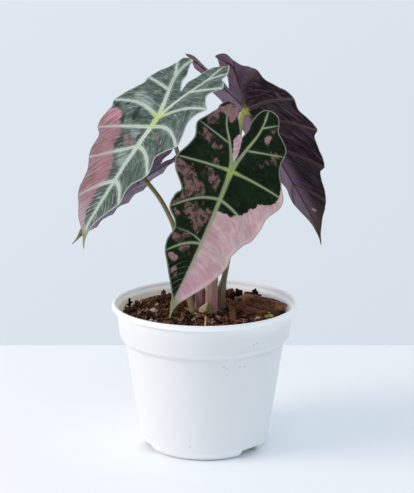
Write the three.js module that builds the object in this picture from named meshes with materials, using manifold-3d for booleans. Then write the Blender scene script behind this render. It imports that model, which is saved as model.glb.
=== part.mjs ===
// Potted African mask plant: four arrow-shaped waved leaves on slim stalks that rise
// from a buried rhizome in bark potting mix, held by a white plastic nursery pot.
// Millimetres, +Z up, origin on the pot's axis at the floor, the viewer on the -Y side.
import * as THREE from "three";
import { mergeVertices } from "three/addons/utils/BufferGeometryUtils.js";
import Module from "manifold-3d";

// Driving dimensions
const POT_HEIGHT = 95;
const RIM_RADIUS = 60;
const POT_SIDES = 40;
const FLOOR_THICKNESS = 1.6;
const GAP = 0.35;
const SOIL_LEVEL = 84.6;
const RHIZOME_TOP = 75.6;
const BLADE_THICKNESS = 0.8;
const RIB_HEIGHT = 1.1;
const VEIN_HEIGHT = 0.6;
const MARGIN_WAVE = 1.5;
const BULGE = 0.8; // how far the blade rises between two side veins
const VEIN_BOW = 0.05; // for leaves that name no sag of their own
const RIB_END = 8.5; // from the end of a lobe's rib to the lobe's tip
const NOTCH_ANGLES = [47, 170, 293]; // degrees from the front towards +X
const NOTCH_WIDTH = 18;
const DRAIN_HOLES = 6;
const CHIP_COUNT = 42;

// Distances below run through a leaf's own flat pattern: x across and y along the midrib
// from the point where the stalk joins, tip at +y, lobes at -y. x > 0 is the leaf's right.
// An outline point with a third value ends a span that starts on the rib skeleton at the
// matching entry of roots (negative on a lobe rib), and the value is its side vein's size.
// A fourth value is how far that vein sags from straight, as a share of its length.
const LEAVES = {
  left: {
    joint: [-28.8, -12.4, 216.1], heading: -132, dip: 40, roll: 2.4, size: 1,
    droop: 0.0007, lobeDroop: [0.0046, 0.006], sweep: -0.0004, hook: -0.018,
    fold: [13.5, 5.7], arch: 0.0007, lobeSpread: [0.37, 0.44], cleft: 25,
    roots: [-25, -38, -49, -38, -25, 0, 8, 24, 52, 103],
    right: [[4, -33], [7, -41, 0], [10, -49], [14, -56, 0.6], [19, -54], [22, -50, 0.5],
      [23, -41], [26, -36], [30, -30, 0.6], [29, -23], [32, -16], [36, -11],
      [40, -5, 1, 0.12], [37, 1], [37, 8], [38, 13], [37, 18, 1, 0.02], [32, 23], [30, 29],
      [30, 36], [28.5, 41, 1, 0], [23, 50], [21, 58], [21, 63], [19, 69, 1, 0.08], [15, 74],
      [9, 83], [3.5, 90], [1.3, 95]],
    left: [[0.5, -33], [1, -41, 0], [6, -50], [13, -56, 0.6], [20, -53], [25, -45, 0.5],
      [28, -37], [33, -32], [35, -28, 0.6], [33, -25], [30, -19], [33, -13],
      [37, -8, 1, 0.1], [33, -3], [32, 6], [34, 16], [34, 23, 1, 0.15], [28, 28], [24, 33],
      [24.5, 39], [25, 46, 1, 0.12], [19, 53], [17, 59], [16.5, 64], [16, 69, 1, 0.13],
      [11, 76], [7, 83], [3, 90], [1.2, 95]],
  },
  front: {
    joint: [16.1, -38, 187], heading: -124.5, dip: 54.3, roll: -53.5, size: 1,
    droop: 0.0033, lobeDroop: [0.0161, 0.0037], sweep: 0.0002, hook: -0.012,
    fold: [4.9, 11.6], arch: 0.0006, lobeSpread: [0.45, 0.34], cleft: 24,
    roots: [-17, -36, -42, -36, -17, 0, 19.5, 49, 98],
    right: [[3.4, -34], [4.6, -42, 0], [5.6, -50], [8, -56, 0.6], [12, -52], [17, -45, 0.5],
      [19, -38], [25, -28], [30, -21, 0.6], [31, -16], [30, -9], [32, -2], [36, 7, 1, 0.01],
      [34, 15], [26, 24], [28, 29], [28, 37, 1, 0.1], [22, 43], [20, 48], [21, 55],
      [19, 62, 1, 0.11], [14, 69], [9, 76], [3, 84], [1.2, 90]],
    left: [[2, -30], [3, -37, 0], [6, -45], [11, -49, 0.6], [17, -46], [20, -41, 0.5],
      [21, -35], [28, -27], [29, -22, 0.6], [28, -17], [29, -10], [33, -3], [37, 4, 1, 0.02],
      [36, 11], [31, 19], [30, 27], [28, 35, 1, 0.09], [24, 40], [21, 46], [20, 50],
      [20.5, 56, 1, 0.1], [17, 65], [12, 74], [6, 83], [2, 90]],
  },
  right: {
    joint: [27.7, 35.5, 214.7], heading: 6.8, dip: 54.5, roll: -27.2, size: 1,
    droop: 0.0024, lobeDroop: [0.0087, 0.0051], sweep: 0.0005, hook: -0.013,
    fold: [12.7, 13.9], arch: 0.0019, lobeSpread: [0.72, 0.37], cleft: 18,
    roots: [-17, -29, -40, -29, -17, 0, 8, 30, 58, 104],
    right: [[8, -28], [11, -35, 0], [14, -40], [18, -43.8, 0.6], [23.4, -40.5], [25.6, -34.5, 0.5],
      [26, -28], [30, -25], [34.8, -21.4, 0.6], [33, -13], [37, -6], [43, -1], [45.8, 4.8, 1],
      [42, 13], [44, 20], [47, 25], [47.8, 29.2, 1], [41, 33], [37, 42], [37, 48], [34.8, 53.5, 1], [28, 56], [24, 62], [22.5, 69], [20, 75, 1], [15, 80], [9, 85], [4.5, 91], [1.5, 97]],
    left: [[2, -29], [5, -38, 0], [9, -47], [14, -52, 0.6], [20, -46], [25, -39, 0.5],
      [28, -34], [29, -28], [33, -22, 0.6], [35, -14], [35, -7], [36, -2], [38, 4, 1],
      [35, 10], [33, 16], [34, 21], [35, 26, 1], [31, 32], [29, 38], [29, 45], [28, 50, 1],
      [23, 57], [21, 63], [21, 68], [19, 74, 1], [15, 80], [10, 86], [5, 92], [1.6, 97]],
  },
  rear: {
    joint: [-39.8, 10.1, 174.4], heading: 200, dip: 35, roll: 45.6, size: 0.61,
    droop: 0.003, lobeDroop: [0.002, 0.002], sweep: 0, hook: 0,
    fold: [13.6, 13.6], arch: 0, lobeSpread: [0.33, 0.33], cleft: 22,
    roots: [-17, -33, -46, -33, -17, 0, 8, 28, 56, 103],
    right: [[4, -30], [7, -38, 0], [10, -45], [14, -50, 0.6], [19, -48], [22, -42, 0.5],
      [24, -36], [27, -30], [31, -24, 0.6], [31, -17], [33, -10], [37, -3], [38, 4, 1],
      [36, 9], [35, 14], [36, 20], [36, 26, 1], [32, 31], [29, 38], [29, 43], [28, 48, 1],
      [23, 55], [21, 61], [20, 66], [19, 71, 1], [15, 76], [9, 84], [4, 91], [1.5, 96]],
    left: [[3, -30], [6, -38, 0], [9, -45], [13, -50, 0.6], [18, -47], [21, -41, 0.5],
      [24, -35], [28, -29], [31, -23, 0.6], [31, -16], [34, -9], [37, -3], [38, 3, 1],
      [36, 9], [34, 14], [35, 20], [36, 25, 1], [32, 31], [29, 37], [28, 43], [28, 47, 1],
      [23, 54], [21, 60], [20, 65], [19, 70, 1], [14, 77], [8, 84], [4, 91], [1.5, 96]],
  },
};

// Stalk centrelines from the rhizome to just short of the joint, each followed by its
// radius: the wide sheath at the foot runs out into a slim round stalk.
const STALKS = {
  left: [[-2.6, 3.2, 76.4, 3.6], [-2.6, 3.2, 88, 3.6], [-2.6, 3.2, 97, 3.5], [-2.9, 3.1, 105, 3],
    [-4.2, 2.9, 115, 2.2], [-5.6, 3.2, 126, 1.8], [-10, 3.4, 160, 1.55], [-15.5, 2, 185, 1.4],
    [-19.2, -2.6, 199, 1.35]],
  front: [[4.3, -1.2, 76.4, 3.8], [4.3, -1.2, 88, 3.8], [4.4, -1.4, 98, 3.9],
    [4.9, -2, 107, 3.6], [6.4, -3.4, 116, 2.8], [7.6, -5.2, 125, 2.3], [10, -11.5, 148, 1.9],
    [11.6, -20, 168, 1.75], [11.6, -26.5, 178.5, 1.7]],
  right: [[8.9, 6.2, 76.4, 3.1], [9.3, 6.2, 88, 3.1], [10.4, 6.4, 96, 3.1],
    [11.3, 6.6, 102.5, 2.8], [12.4, 7, 107, 2], [13.4, 7.5, 112, 1.85], [15.2, 8.8, 122, 1.8],
    [18.2, 11.6, 140, 1.9], [20.4, 20, 170.5, 2], [22, 29, 196.5, 1.9],
    [23.3, 31.4, 205.7, 1.8]],
  rear: [[-7.1, -4.1, 76.4, 2.2], [-7.2, -4, 86, 2.2], [-9, -2.4, 94, 2],
    [-11.2, -0.4, 103, 1.85], [-15.6, 3, 122, 1.7], [-19.8, 4, 143, 1.55], [-24, 5, 153, 1.5],
    [-29.5, 6, 162.5, 1.45]],
};

// Large bark pieces: centre, length, width, thickness, turn and tilt in degrees
const LARGE_CHIPS = [
  [36, 20, 88.4, 27, 9, 6, -8, 4], [21, 38, 90, 7, 5, 9, 30, 8], [31, 34, 90.5, 6, 4, 9, -20, -10],
  [-46, 15, 89, 4, 3, 11, 10, 6], [-27, 39, 88.5, 8, 5, 8, 50, -8], [-38, 24, 87.2, 18, 6, 4, 35, 5],
  [24, 8, 87, 22, 4.5, 4, -28, -6], [-12, 30, 87.5, 16, 7, 4, 12, 3], [42, 2, 86.8, 12, 7, 4, 70, 8],
];

const radians = THREE.MathUtils.degToRad;

function seededRandom(seed) {
  let state = seed;
  return () => {
    state = (state * 1664525 + 1013904223) % 4294967296;
    return state / 4294967296;
  };
}

function geometryFrom(positions, indices) {
  const geometry = new THREE.BufferGeometry();
  geometry.setAttribute("position", new THREE.Float32BufferAttribute(positions, 3));
  geometry.setIndex(indices);
  return geometry;
}

// Merged positions only, without triangles that have collapsed, and with outward faces
function closedBody(source) {
  const bare = source.clone();
  bare.deleteAttribute("normal");
  bare.deleteAttribute("uv");
  const merged = mergeVertices(bare, 1e-4);
  const at = merged.getAttribute("position");
  const corner = [new THREE.Vector3(), new THREE.Vector3(), new THREE.Vector3()];
  const kept = [];
  let volume = 0;
  for (let i = 0; i < merged.index.count; i += 3) {
    const ids = [0, 1, 2].map((k) => merged.index.getX(i + k));
    if (ids[0] === ids[1] || ids[1] === ids[2] || ids[2] === ids[0]) continue;
    ids.forEach((id, k) => corner[k].fromBufferAttribute(at, id));
    volume += corner[0].dot(corner[1].clone().cross(corner[2]));
    kept.push(...ids);
  }
  if (volume < 0) {
    for (let i = 0; i < kept.length; i += 3) [kept[i], kept[i + 1]] = [kept[i + 1], kept[i]];
  }
  merged.setIndex(kept);
  return merged;
}

function turned(profile, sides) {
  const points = profile.map(([radius, height]) => new THREE.Vector2(radius, height));
  const lathe = new THREE.LatheGeometry(points, sides);
  lathe.rotateX(Math.PI / 2);
  return closedBody(lathe);
}

const wasm = await Module();
wasm.setup();

function solidOf(geometry) {
  const body = closedBody(geometry);
  return new wasm.Manifold(new wasm.Mesh({
    numProp: 3,
    vertProperties: new Float32Array(body.getAttribute("position").array),
    triVerts: new Uint32Array(body.index.array),
  }));
}

function geometryOf(solid) {
  const mesh = solid.getMesh();
  return geometryFrom(Array.from(mesh.vertProperties), Array.from(mesh.triVerts));
}

// Catmull-Rom through the outline points, place counted in points
function outlinePoint(points, place) {
  const i = Math.min(Math.floor(place), points.length - 2);
  const f = place - i;
  const p = [i - 1, i, i + 1, i + 2].map((k) => points[Math.max(0, Math.min(points.length - 1, k))]);
  return [0, 1].map((c) => 0.5 * (2 * p[1][c] + (p[2][c] - p[0][c]) * f
    + (2 * p[0][c] - 5 * p[1][c] + 4 * p[2][c] - p[3][c]) * f * f
    + (3 * p[1][c] - p[0][c] - 3 * p[2][c] + p[3][c]) * f * f * f));
}

// A leaf's directions: across (to its right), along (to its tip) and up from its upper face
function leafAxes(leaf) {
  const [h, d, r] = [leaf.heading, leaf.dip, leaf.roll].map(radians);
  const along = new THREE.Vector3(Math.cos(d) * Math.cos(h), Math.cos(d) * Math.sin(h), -Math.sin(d));
  const level = new THREE.Vector3(Math.sin(d) * Math.cos(h), Math.sin(d) * Math.sin(h), Math.cos(d));
  const side = along.clone().cross(level);
  const up = level.multiplyScalar(Math.cos(r)).addScaledVector(side, Math.sin(r));
  return { across: along.clone().cross(up), along, up };
}

// Bends a point of the flat pattern into place: folded along the midrib, drooping towards
// the tip and the lobes, with lift as the height above the pattern
function placeInLeaf(leaf, axes, x, y, lift) {
  const share = 0.5 + 0.5 * x / Math.sqrt(x * x + 36);
  const [droopRight, droopLeft] = leaf.lobeDroop;
  const curve = y >= 0 ? leaf.droop : droopLeft + (droopRight - droopLeft) * share;
  const angle = curve * y;
  const forward = Math.abs(angle) < 1e-6 ? y : Math.sin(angle) / curve;
  const down = Math.abs(angle) < 1e-6 ? 0.5 * curve * y * y : (1 - Math.cos(angle)) / curve;
  const reach = Math.sqrt(x * x + 9) - 3;
  const fold = radians(x > 0 ? leaf.fold[0] : leaf.fold[1]);
  const sideways = x - Math.sign(x) * (1 - Math.cos(fold)) * reach
    + leaf.sweep * Math.max(y, 0) ** 2 + leaf.hook * Math.max(y - 82, 0) ** 2;
  const height = reach * Math.sin(fold) - 0.5 * leaf.arch * x * x + lift;
  return new THREE.Vector3(...leaf.joint)
    .addScaledVector(axes.across, sideways)
    .addScaledVector(axes.along, forward + Math.sin(angle) * height)
    .addScaledVector(axes.up, Math.cos(angle) * height - down);
}

// A place on the rib skeleton: the midrib, or the lobe's rib, which turns to its tip
function ribPoint(leaf, half, root) {
  if (root > 0) return [0, root];
  const spread = leaf.lobeSpread[half === "right" ? 0 : 1];
  const lobe = -Math.min(...leaf.roots);
  const s = Math.min(-root, 0.6 * lobe);
  const start = [spread * s * (0.7 + 0.3 * s / 48), -0.95 * s];
  if (-root <= s) return start;
  const knots = [[0, 0, 0], ...leaf[half]].filter((p) => p.length > 2);
  const tip = knots[leaf.roots.indexOf(-lobe)];
  const turn = [start[0] + spread * (0.7 + 0.6 * s / 48) * 0.2 * lobe, start[1] - 0.19 * lobe];
  const reach = Math.hypot(turn[0] - tip[0], turn[1] - tip[1]);
  const f = (-root - s) / (lobe - s);
  return [0, 1].map((c) => {
    const end = tip[c] + (turn[c] - tip[c]) / reach * RIB_END;
    return (1 - f) ** 2 * start[c] + 2 * f * (1 - f) * turn[c] + f * f * end;
  });
}

// The sag of a side vein that starts at a root, as a share of its length
function veinBow(leaf, half, root) {
  const knots = [[0, 0], ...leaf[half].filter((p) => p.length > 2)];
  const known = leaf.roots.map((r, i) => [r, knots[i]?.[3]]).filter((k) => k[1] !== undefined);
  const ease = THREE.MathUtils.smoothstep(root, -14, 0);
  if (known.length === 0) return VEIN_BOW * ease;
  const i = known.findIndex(([r]) => r >= root);
  if (i <= 0) return known.at(i)[1] * ease;
  const [[r0, bow0], [r1, bow1]] = [known[i - 1], known[i]];
  return (bow0 + (bow1 - bow0) * (root - r0) / (r1 - r0)) * ease;
}

// Columns in a span of the rib skeleton, alike on both sides of a rib so that they meet
function spanSteps(r0, r1) {
  const even = Math.min(6, Math.round(Math.abs(r1 - r0) / 4.6));
  return Math.max(even, r0 >= 0 && r1 > 0 ? 4 : 2);
}

// One waved blade. Columns run from the rib skeleton to the edge: along the seam behind
// the joint, down the cleft, round the lobe and up to the tip. Both faces share them.
function bladeGeometry(leaf) {
  const axes = leafAxes(leaf);
  const rows = [0, 0.13, 0.36, 0.6, 0.82, 1];
  const points = [];
  const depths = [];
  const named = new Map();
  const faces = [];
  const length = leaf.roots.at(-1);
  const lobe = -Math.min(...leaf.roots);

  function vertex(name, x, y, lift, depth) {
    if (!named.has(name)) {
      named.set(name, points.length);
      points.push(placeInLeaf(leaf, axes, x * leaf.size, y * leaf.size, lift));
      depths.push(depth);
    }
    return named.get(name);
  }

  for (const [half, mirror] of [["right", 1], ["left", -1]]) {
    const outline = [[0, -leaf.cleft, 0], ...leaf[half], [0, length, 0]];
    const ends = outline.map((p, i) => (p.length > 2 ? i : -1)).filter((i) => i >= 0);
    const columns = [];
    // The seam, where the two lobes are joined behind the stalk
    const seamSteps = spanSteps(0, leaf.roots[0]);
    for (let k = 0; k <= seamSteps; k++) {
      const f = k / seamSteps;
      columns.push({ root: leaf.roots[0] * f, edge: [0, -leaf.cleft * f], vein: 0, wave: 0,
        bulge: 0, seam: true });
    }
    for (let span = 0; span < ends.length - 1; span++) {
      const [r0, r1] = [leaf.roots[span], leaf.roots[span + 1]];
      const steps = spanSteps(r0, r1);
      for (let k = 1; k <= steps; k++) {
        const f = k / steps;
        const crest = Math.sin(Math.PI * f) ** 2 - 0.35;
        columns.push({
          root: r0 + (r1 - r0) * f,
          edge: outlinePoint(outline, ends[span] + f * (ends[span + 1] - ends[span])),
          vein: k === steps ? outline[ends[span + 1]][2] : 0,
          wave: r1 >= length ? crest * (1 - f) : crest,
          bulge: r1 >= length ? 0 : Math.sin(Math.PI * f) ** 2,
          seam: false,
        });
      }
    }
    const grid = columns.map((column, c) => rows.map((t, row) => {
      const s = Math.max(-column.root, 0);
      const start = ribPoint(leaf, half, column.root);
      const [dx, dy] = [column.edge[0] - start[0], column.edge[1] - start[1]];
      const bow = veinBow(leaf, half, column.root) * Math.hypot(dx, dy) * Math.sin(Math.PI * t);
      const taper = column.root > 0 ? 1 - column.root / length : 1 - 0.6 * s / lobe;
      const rib = row === 0 ? RIB_HEIGHT * taper : 0;
      const vein = VEIN_HEIGHT * column.vein * (1 - t * t);
      const width = Math.min(1, Math.hypot(dx, dy) / 30);
      const lift = leaf.size * (MARGIN_WAVE * column.wave * t * t
        + BULGE * width * column.bulge * Math.sin(Math.PI * t)) - 0.3 * vein;
      const root = column.root.toFixed(2);
      let name = `${half} ${c} ${row}`;
      if (column.root === 0 && (row === 0 || column.seam)) name = "joint";
      else if (row === 0) name = column.root > 0 ? `midrib ${root}` : `${half} rib ${root}`;
      else if (column.seam && t === 1) name = `seam ${root}`;
      if (column.root === length) name = "tip";
      return vertex(name, mirror * (start[0] + dx * t), start[1] + dy * t - bow, lift,
        BLADE_THICKNESS + rib + vein);
    }));
    for (let c = 0; c < grid.length - 1; c++) {
      for (let row = 0; row < rows.length - 1; row++) {
        const quad = [grid[c][row], grid[c][row + 1], grid[c + 1][row + 1], grid[c + 1][row]];
        if (mirror < 0) quad.reverse();
        for (const face of [[quad[0], quad[1], quad[2]], [quad[0], quad[2], quad[3]]]) {
          if (new Set(face).size === 3) faces.push(face);
        }
      }
    }
  }

  const normals = points.map(() => new THREE.Vector3());
  for (const [a, b, c] of faces) {
    const normal = points[b].clone().sub(points[a]).cross(points[c].clone().sub(points[a]));
    for (const id of [a, b, c]) normals[id].add(normal);
  }
  const positions = points.flatMap((p) => p.toArray());
  points.forEach((p, i) => {
    positions.push(...p.clone().addScaledVector(normals[i].normalize(), -depths[i]).toArray());
  });
  const count = points.length;
  const used = new Set(faces.flatMap(([a, b, c]) => [`${a} ${b}`, `${b} ${c}`, `${c} ${a}`]));
  const indices = [];
  for (const [a, b, c] of faces) {
    indices.push(a, b, c, a + count, c + count, b + count);
    for (const [p, q] of [[a, b], [b, c], [c, a]]) {
      if (!used.has(`${q} ${p}`)) indices.push(q, p, p + count, q, p + count, q + count);
    }
  }
  return geometryFrom(positions, indices);
}

// A stalk that narrows along its centreline, with flat ends
function stalkGeometry(stations, sides, swell = 0, steps = 22) {
  const path = new THREE.CatmullRomCurve3(stations.map((s) => new THREE.Vector3(s[0], s[1], s[2])));
  const { tangents, normals, binormals } = path.computeFrenetFrames(steps);
  const positions = [];
  const indices = [];
  for (let i = 0; i <= steps; i++) {
    const u = path.getUtoTmapping(i / steps) * (stations.length - 1);
    const k = Math.min(Math.floor(u), stations.length - 2);
    const radius = swell + THREE.MathUtils.lerp(stations[k][3], stations[k + 1][3], u - k);
    const centre = path.getPointAt(i / steps);
    if (swell > 0 && i === 0) centre.addScaledVector(tangents[0], -swell);
    for (let j = 0; j < sides; j++) {
      const turn = 2 * Math.PI * j / sides;
      positions.push(...centre.clone().addScaledVector(normals[i], radius * Math.cos(turn))
        .addScaledVector(binormals[i], radius * Math.sin(turn)).toArray());
    }
  }
  for (let i = 0; i < steps; i++) {
    for (let j = 0; j < sides; j++) {
      const [a, b] = [i * sides + j, i * sides + (j + 1) % sides];
      indices.push(a, b, b + sides, a, b + sides, a + sides);
    }
  }
  for (const [ring, first] of [[0, true], [steps, false]]) {
    for (let j = 1; j < sides - 1; j++) {
      const face = [ring * sides, ring * sides + j, ring * sides + j + 1];
      indices.push(...(first ? face.reverse() : face));
    }
  }
  return closedBody(geometryFrom(positions, indices));
}

function fullStalk(name) {
  const leaf = LEAVES[name];
  const { up } = leafAxes(leaf);
  const joint = new THREE.Vector3(...leaf.joint);
  const thin = STALKS[name].at(-1)[3];
  const ends = [5, BLADE_THICKNESS + RIB_HEIGHT + GAP].map((below) => [
    ...joint.clone().addScaledVector(up, -below).toArray(), thin]);
  return [...STALKS[name], ...ends];
}

// Pot: closed turned wall with a rolled lip, a collar that steps in, a foot ring and a
// channel round the middle of the underside that drains through three notches
const OUTER_WALL = [[0, 0], [22, 0], [22.8, 3], [33, 3], [33.6, 0], [37.2, 0], [39.3, 1.2],
  [41, 3.4], [42.1, 6.4], [51.4, 69.4], [52.2, 70.8], [54.6, 72.8], [55.1, 74.4],
  [56.8, POT_HEIGHT - 3.8], [59, POT_HEIGHT - 3.6], [RIM_RADIUS, POT_HEIGHT - 2.6],
  [RIM_RADIUS - 0.1, POT_HEIGHT - 1], [RIM_RADIUS - 1, POT_HEIGHT], [RIM_RADIUS - 2.2, POT_HEIGHT],
  [RIM_RADIUS - 3, POT_HEIGHT - 1]];
const INNER_WALL = [[55.4, POT_HEIGHT - 4.5], [53.7, 74], [50.4, 70.2], [49.9, 68.6], [40.5, 7],
  [38.1, 3 + FLOOR_THICKNESS], [21.6, 3 + FLOOR_THICKNESS], [20.8, FLOOR_THICKNESS],
  [0, FLOOR_THICKNESS]];

function potGeometry() {
  let pot = solidOf(turned([...OUTER_WALL, ...INNER_WALL], POT_SIDES));
  for (const angle of NOTCH_ANGLES) {
    const notch = new THREE.BoxGeometry(NOTCH_WIDTH, 14, 6.4);
    notch.translate(0, -38, 0).rotateZ(radians(angle));
    pot = pot.subtract(solidOf(notch));
  }
  for (let i = 0; i < DRAIN_HOLES; i++) {
    const hole = new THREE.CylinderGeometry(2.6, 2.6, 6, 10);
    hole.rotateX(Math.PI / 2).translate(26.8, 0, 4).rotateZ(2 * Math.PI * (i + 0.5) / DRAIN_HOLES);
    pot = pot.subtract(solidOf(hole));
  }
  return geometryOf(pot);
}

function soilHeight(x, y) {
  const mound = 2.2 * Math.exp(-((x - 1) ** 2 + (y - 4) ** 2) / 420);
  const lumps = 0.8 * Math.sin(0.31 * x + 1.1) * Math.cos(0.27 * y + 0.4)
    + 0.45 * Math.sin(0.83 * x - 0.66 * y) + 0.35 * Math.cos(0.71 * x + 0.93 * y);
  return SOIL_LEVEL + mound + lumps;
}

// The mix fills the pot: its side follows the inner wall, its top is a lumpy mound
function soilBody() {
  const side = INNER_WALL.slice(1).map(([radius, height]) => [
    Math.max(0, radius - GAP), height + (radius < 42 ? GAP : GAP * 0.6)]);
  const rings = [54.3, 48.5, 41, 32, 22, 11];
  const turnedSide = [[54.35, 83.2], ...side];
  const positions = [];
  const indices = [];
  const ring = (radius, height) => {
    for (let j = 0; j < POT_SIDES; j++) {
      const turn = 2 * Math.PI * j / POT_SIDES;
      const [x, y] = [radius * Math.sin(turn), -radius * Math.cos(turn)];
      positions.push(x, y, height ?? Math.min(soilHeight(x, y), radius > 54 ? 84.6 : 99));
    }
  };
  positions.push(0, 0, soilHeight(0, 0));
  for (const radius of [...rings].reverse()) ring(radius);
  for (const [radius, height] of turnedSide.slice(0, -1)) ring(radius, height);
  const ringCount = rings.length + turnedSide.length - 1;
  const last = positions.length / 3;
  positions.push(0, 0, turnedSide.at(-1)[1]);
  for (let j = 0; j < POT_SIDES; j++) {
    const next = (j + 1) % POT_SIDES;
    indices.push(0, 1 + j, 1 + next);
    for (let k = 0; k < ringCount - 1; k++) {
      const [a, b] = [1 + k * POT_SIDES + j, 1 + k * POT_SIDES + next];
      indices.push(a, a + POT_SIDES, b + POT_SIDES, a, b + POT_SIDES, b);
    }
    const base = 1 + (ringCount - 1) * POT_SIDES;
    indices.push(last, base + next, base + j);
  }
  return geometryFrom(positions, indices);
}

// A bark chip: a box whose corners are knocked in by a seeded amount
function chipGeometry([x, y, z, length, width, thickness, turn, tilt], random) {
  const chip = closedBody(new THREE.BoxGeometry(length, width, thickness));
  const at = chip.getAttribute("position");
  for (let i = 0; i < at.count; i++) {
    at.setXYZ(i, at.getX(i) * (0.78 + 0.22 * random()), at.getY(i) * (0.6 + 0.4 * random()),
      at.getZ(i) * (0.7 + 0.3 * random()));
  }
  chip.rotateY(radians(tilt)).rotateZ(radians(turn)).translate(x, y, z);
  return chip;
}

function pottingMixGeometry() {
  const random = seededRandom(96);
  const chips = LARGE_CHIPS.map((chip) => chipGeometry(chip, random));
  for (let i = 0; i < CHIP_COUNT; i++) {
    const [radius, turn] = [50 * Math.sqrt(random()), 2 * Math.PI * random()];
    const [x, y] = [radius * Math.sin(turn), -radius * Math.cos(turn)];
    const length = 8 + 13 * random() ** 2;
    chips.push(chipGeometry([x, y, soilHeight(x, y) + 0.3 + 1.2 * random(), length,
      length * (0.3 + 0.25 * random()), 3.2 + 2 * random(), 360 * random(), 36 * (random() - 0.5)],
    random));
  }
  let mix = solidOf(soilBody());
  for (const chip of chips) mix = mix.add(solidOf(chip));
  const wall = INNER_WALL.map(([radius, height]) => [Math.max(0, radius - GAP), height + GAP * 0.6]);
  const inside = turned([[0, 110], [55.1, 110], ...wall], POT_SIDES);
  mix = mix.intersect(solidOf(inside));
  for (const name of Object.keys(STALKS)) {
    mix = mix.subtract(solidOf(stalkGeometry(STALKS[name].slice(0, 4), 8, GAP + 0.3, 5)));
  }
  mix = mix.subtract(solidOf(rhizomeGeometry(GAP)));
  mix = mix.subtract(solidOf(budScaleGeometry(GAP)));
  const pieces = mix.decompose().sort((a, b) => b.volume() - a.volume());
  return geometryOf(pieces[0]);
}

// The buried stem that the stalks stand on
function rhizomeGeometry(swell = 0) {
  const profile = [[0, 57], [6, 58.5], [11.5, 63], [15, 70], [15.5, RHIZOME_TOP - 1.2],
    [14.6, RHIZOME_TOP], [0, RHIZOME_TOP]].map(([radius, height], i) => [
    radius > 0 ? radius + swell : 0, height + (i > 3 ? swell : -swell)]);
  const body = turned(profile, 20);
  body.translate(1, 4.6, 0);
  return body;
}

// The pale scale leaf that hugs the feet of the two front stalks
function budScaleGeometry(swell = 0) {
  const rows = [[80, 4.2], [89, 4.6], [91.4, 4.7], [93.6, 2.6], [95.9, 0.6]];
  const positions = [];
  const indices = [];
  const across = 6;
  for (const [height, half] of rows) {
    const lean = Math.max(0, height - 91.4) * 0.35;
    for (const face of [0, 1]) {
      for (let j = 0; j <= across; j++) {
        const u = (j / across) * 2 - 1;
        const radius = 6.9 + face * 1.1 + (face ? swell : -swell);
        const turn = u * (half + swell) / 7.4;
        positions.push(0.6 + lean + radius * Math.sin(turn), 0.3 - radius * Math.cos(turn),
          height + (height > 94 ? swell : 0) - (height < 81 ? swell : 0));
      }
    }
  }
  const wide = across + 1;
  const id = (row, face, j) => row * 2 * wide + face * wide + j;
  const quad = (a, b, c, d) => indices.push(a, b, c, a, c, d);
  for (let row = 0; row < rows.length - 1; row++) {
    for (let j = 0; j < across; j++) {
      quad(id(row, 1, j), id(row, 1, j + 1), id(row + 1, 1, j + 1), id(row + 1, 1, j));
      quad(id(row, 0, j + 1), id(row, 0, j), id(row + 1, 0, j), id(row + 1, 0, j + 1));
    }
    quad(id(row, 0, 0), id(row, 1, 0), id(row + 1, 1, 0), id(row + 1, 0, 0));
    quad(id(row, 1, across), id(row, 0, across), id(row + 1, 0, across), id(row + 1, 1, across));
  }
  const top = rows.length - 1;
  for (let j = 0; j < across; j++) {
    quad(id(0, 0, j), id(0, 0, j + 1), id(0, 1, j + 1), id(0, 1, j));
    quad(id(top, 1, j), id(top, 1, j + 1), id(top, 0, j + 1), id(top, 0, j));
  }
  return closedBody(geometryFrom(positions, indices));
}

const plant = new THREE.Group();

function addPart(name, geometry, color, roughness, metalness = 0) {
  const material = new THREE.MeshStandardMaterial({ color, roughness, metalness });
  const mesh = new THREE.Mesh(closedBody(geometry), material);
  mesh.name = name;
  plant.add(mesh);
}

addPart("pot", potGeometry(), "#e6ebf1", 0.42);
addPart("potting_mix", pottingMixGeometry(), "#4a2f24", 0.95);
addPart("rhizome", rhizomeGeometry(), "#7a6146", 0.85);
addPart("bud_scale", budScaleGeometry(), "#c9bd8e", 0.6);
const BLADE_COLORS = { left: "#5f7a70", front: "#2f3d33", right: "#3a2838", rear: "#5c4658" };
const STALK_COLORS = { left: "#7c7440", front: "#9a6f74", right: "#7d7240", rear: "#807a45" };
for (const name of ["front", "left", "right", "rear"]) {
  addPart(`${name}_blade`, bladeGeometry(LEAVES[name]), BLADE_COLORS[name], 0.45);
  addPart(`${name}_petiole`, stalkGeometry(fullStalk(name), 10), STALK_COLORS[name], 0.5);
}

export default plant;
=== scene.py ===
"""Looks for the potted African mask plant.

Four waved, arrow-shaped leaves on slim stalks stand in bark potting mix in a white
plastic nursery pot. Shapes are worked out in millimetres and scaled to metres when a
piece is made. +Z is up and the viewer is on the -Y side.
"""
import itertools
import math
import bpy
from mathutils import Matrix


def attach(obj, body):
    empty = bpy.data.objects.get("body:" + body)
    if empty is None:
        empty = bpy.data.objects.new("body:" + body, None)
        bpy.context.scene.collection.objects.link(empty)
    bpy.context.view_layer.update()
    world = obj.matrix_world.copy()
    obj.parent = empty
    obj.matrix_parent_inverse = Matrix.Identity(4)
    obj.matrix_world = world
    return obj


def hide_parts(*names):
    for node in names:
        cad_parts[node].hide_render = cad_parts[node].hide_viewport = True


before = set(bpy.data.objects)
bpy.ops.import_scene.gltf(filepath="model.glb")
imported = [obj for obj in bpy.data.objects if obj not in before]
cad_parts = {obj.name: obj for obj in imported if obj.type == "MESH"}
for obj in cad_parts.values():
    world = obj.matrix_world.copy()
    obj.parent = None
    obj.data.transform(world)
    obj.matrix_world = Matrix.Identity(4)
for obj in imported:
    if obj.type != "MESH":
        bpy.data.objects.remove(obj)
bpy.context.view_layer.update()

from types import SimpleNamespace

import bpy
import numpy as np
from mathutils import Matrix, Vector

MM = 0.001
ROUND = 6.28  # a full turn, for random directions

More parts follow.
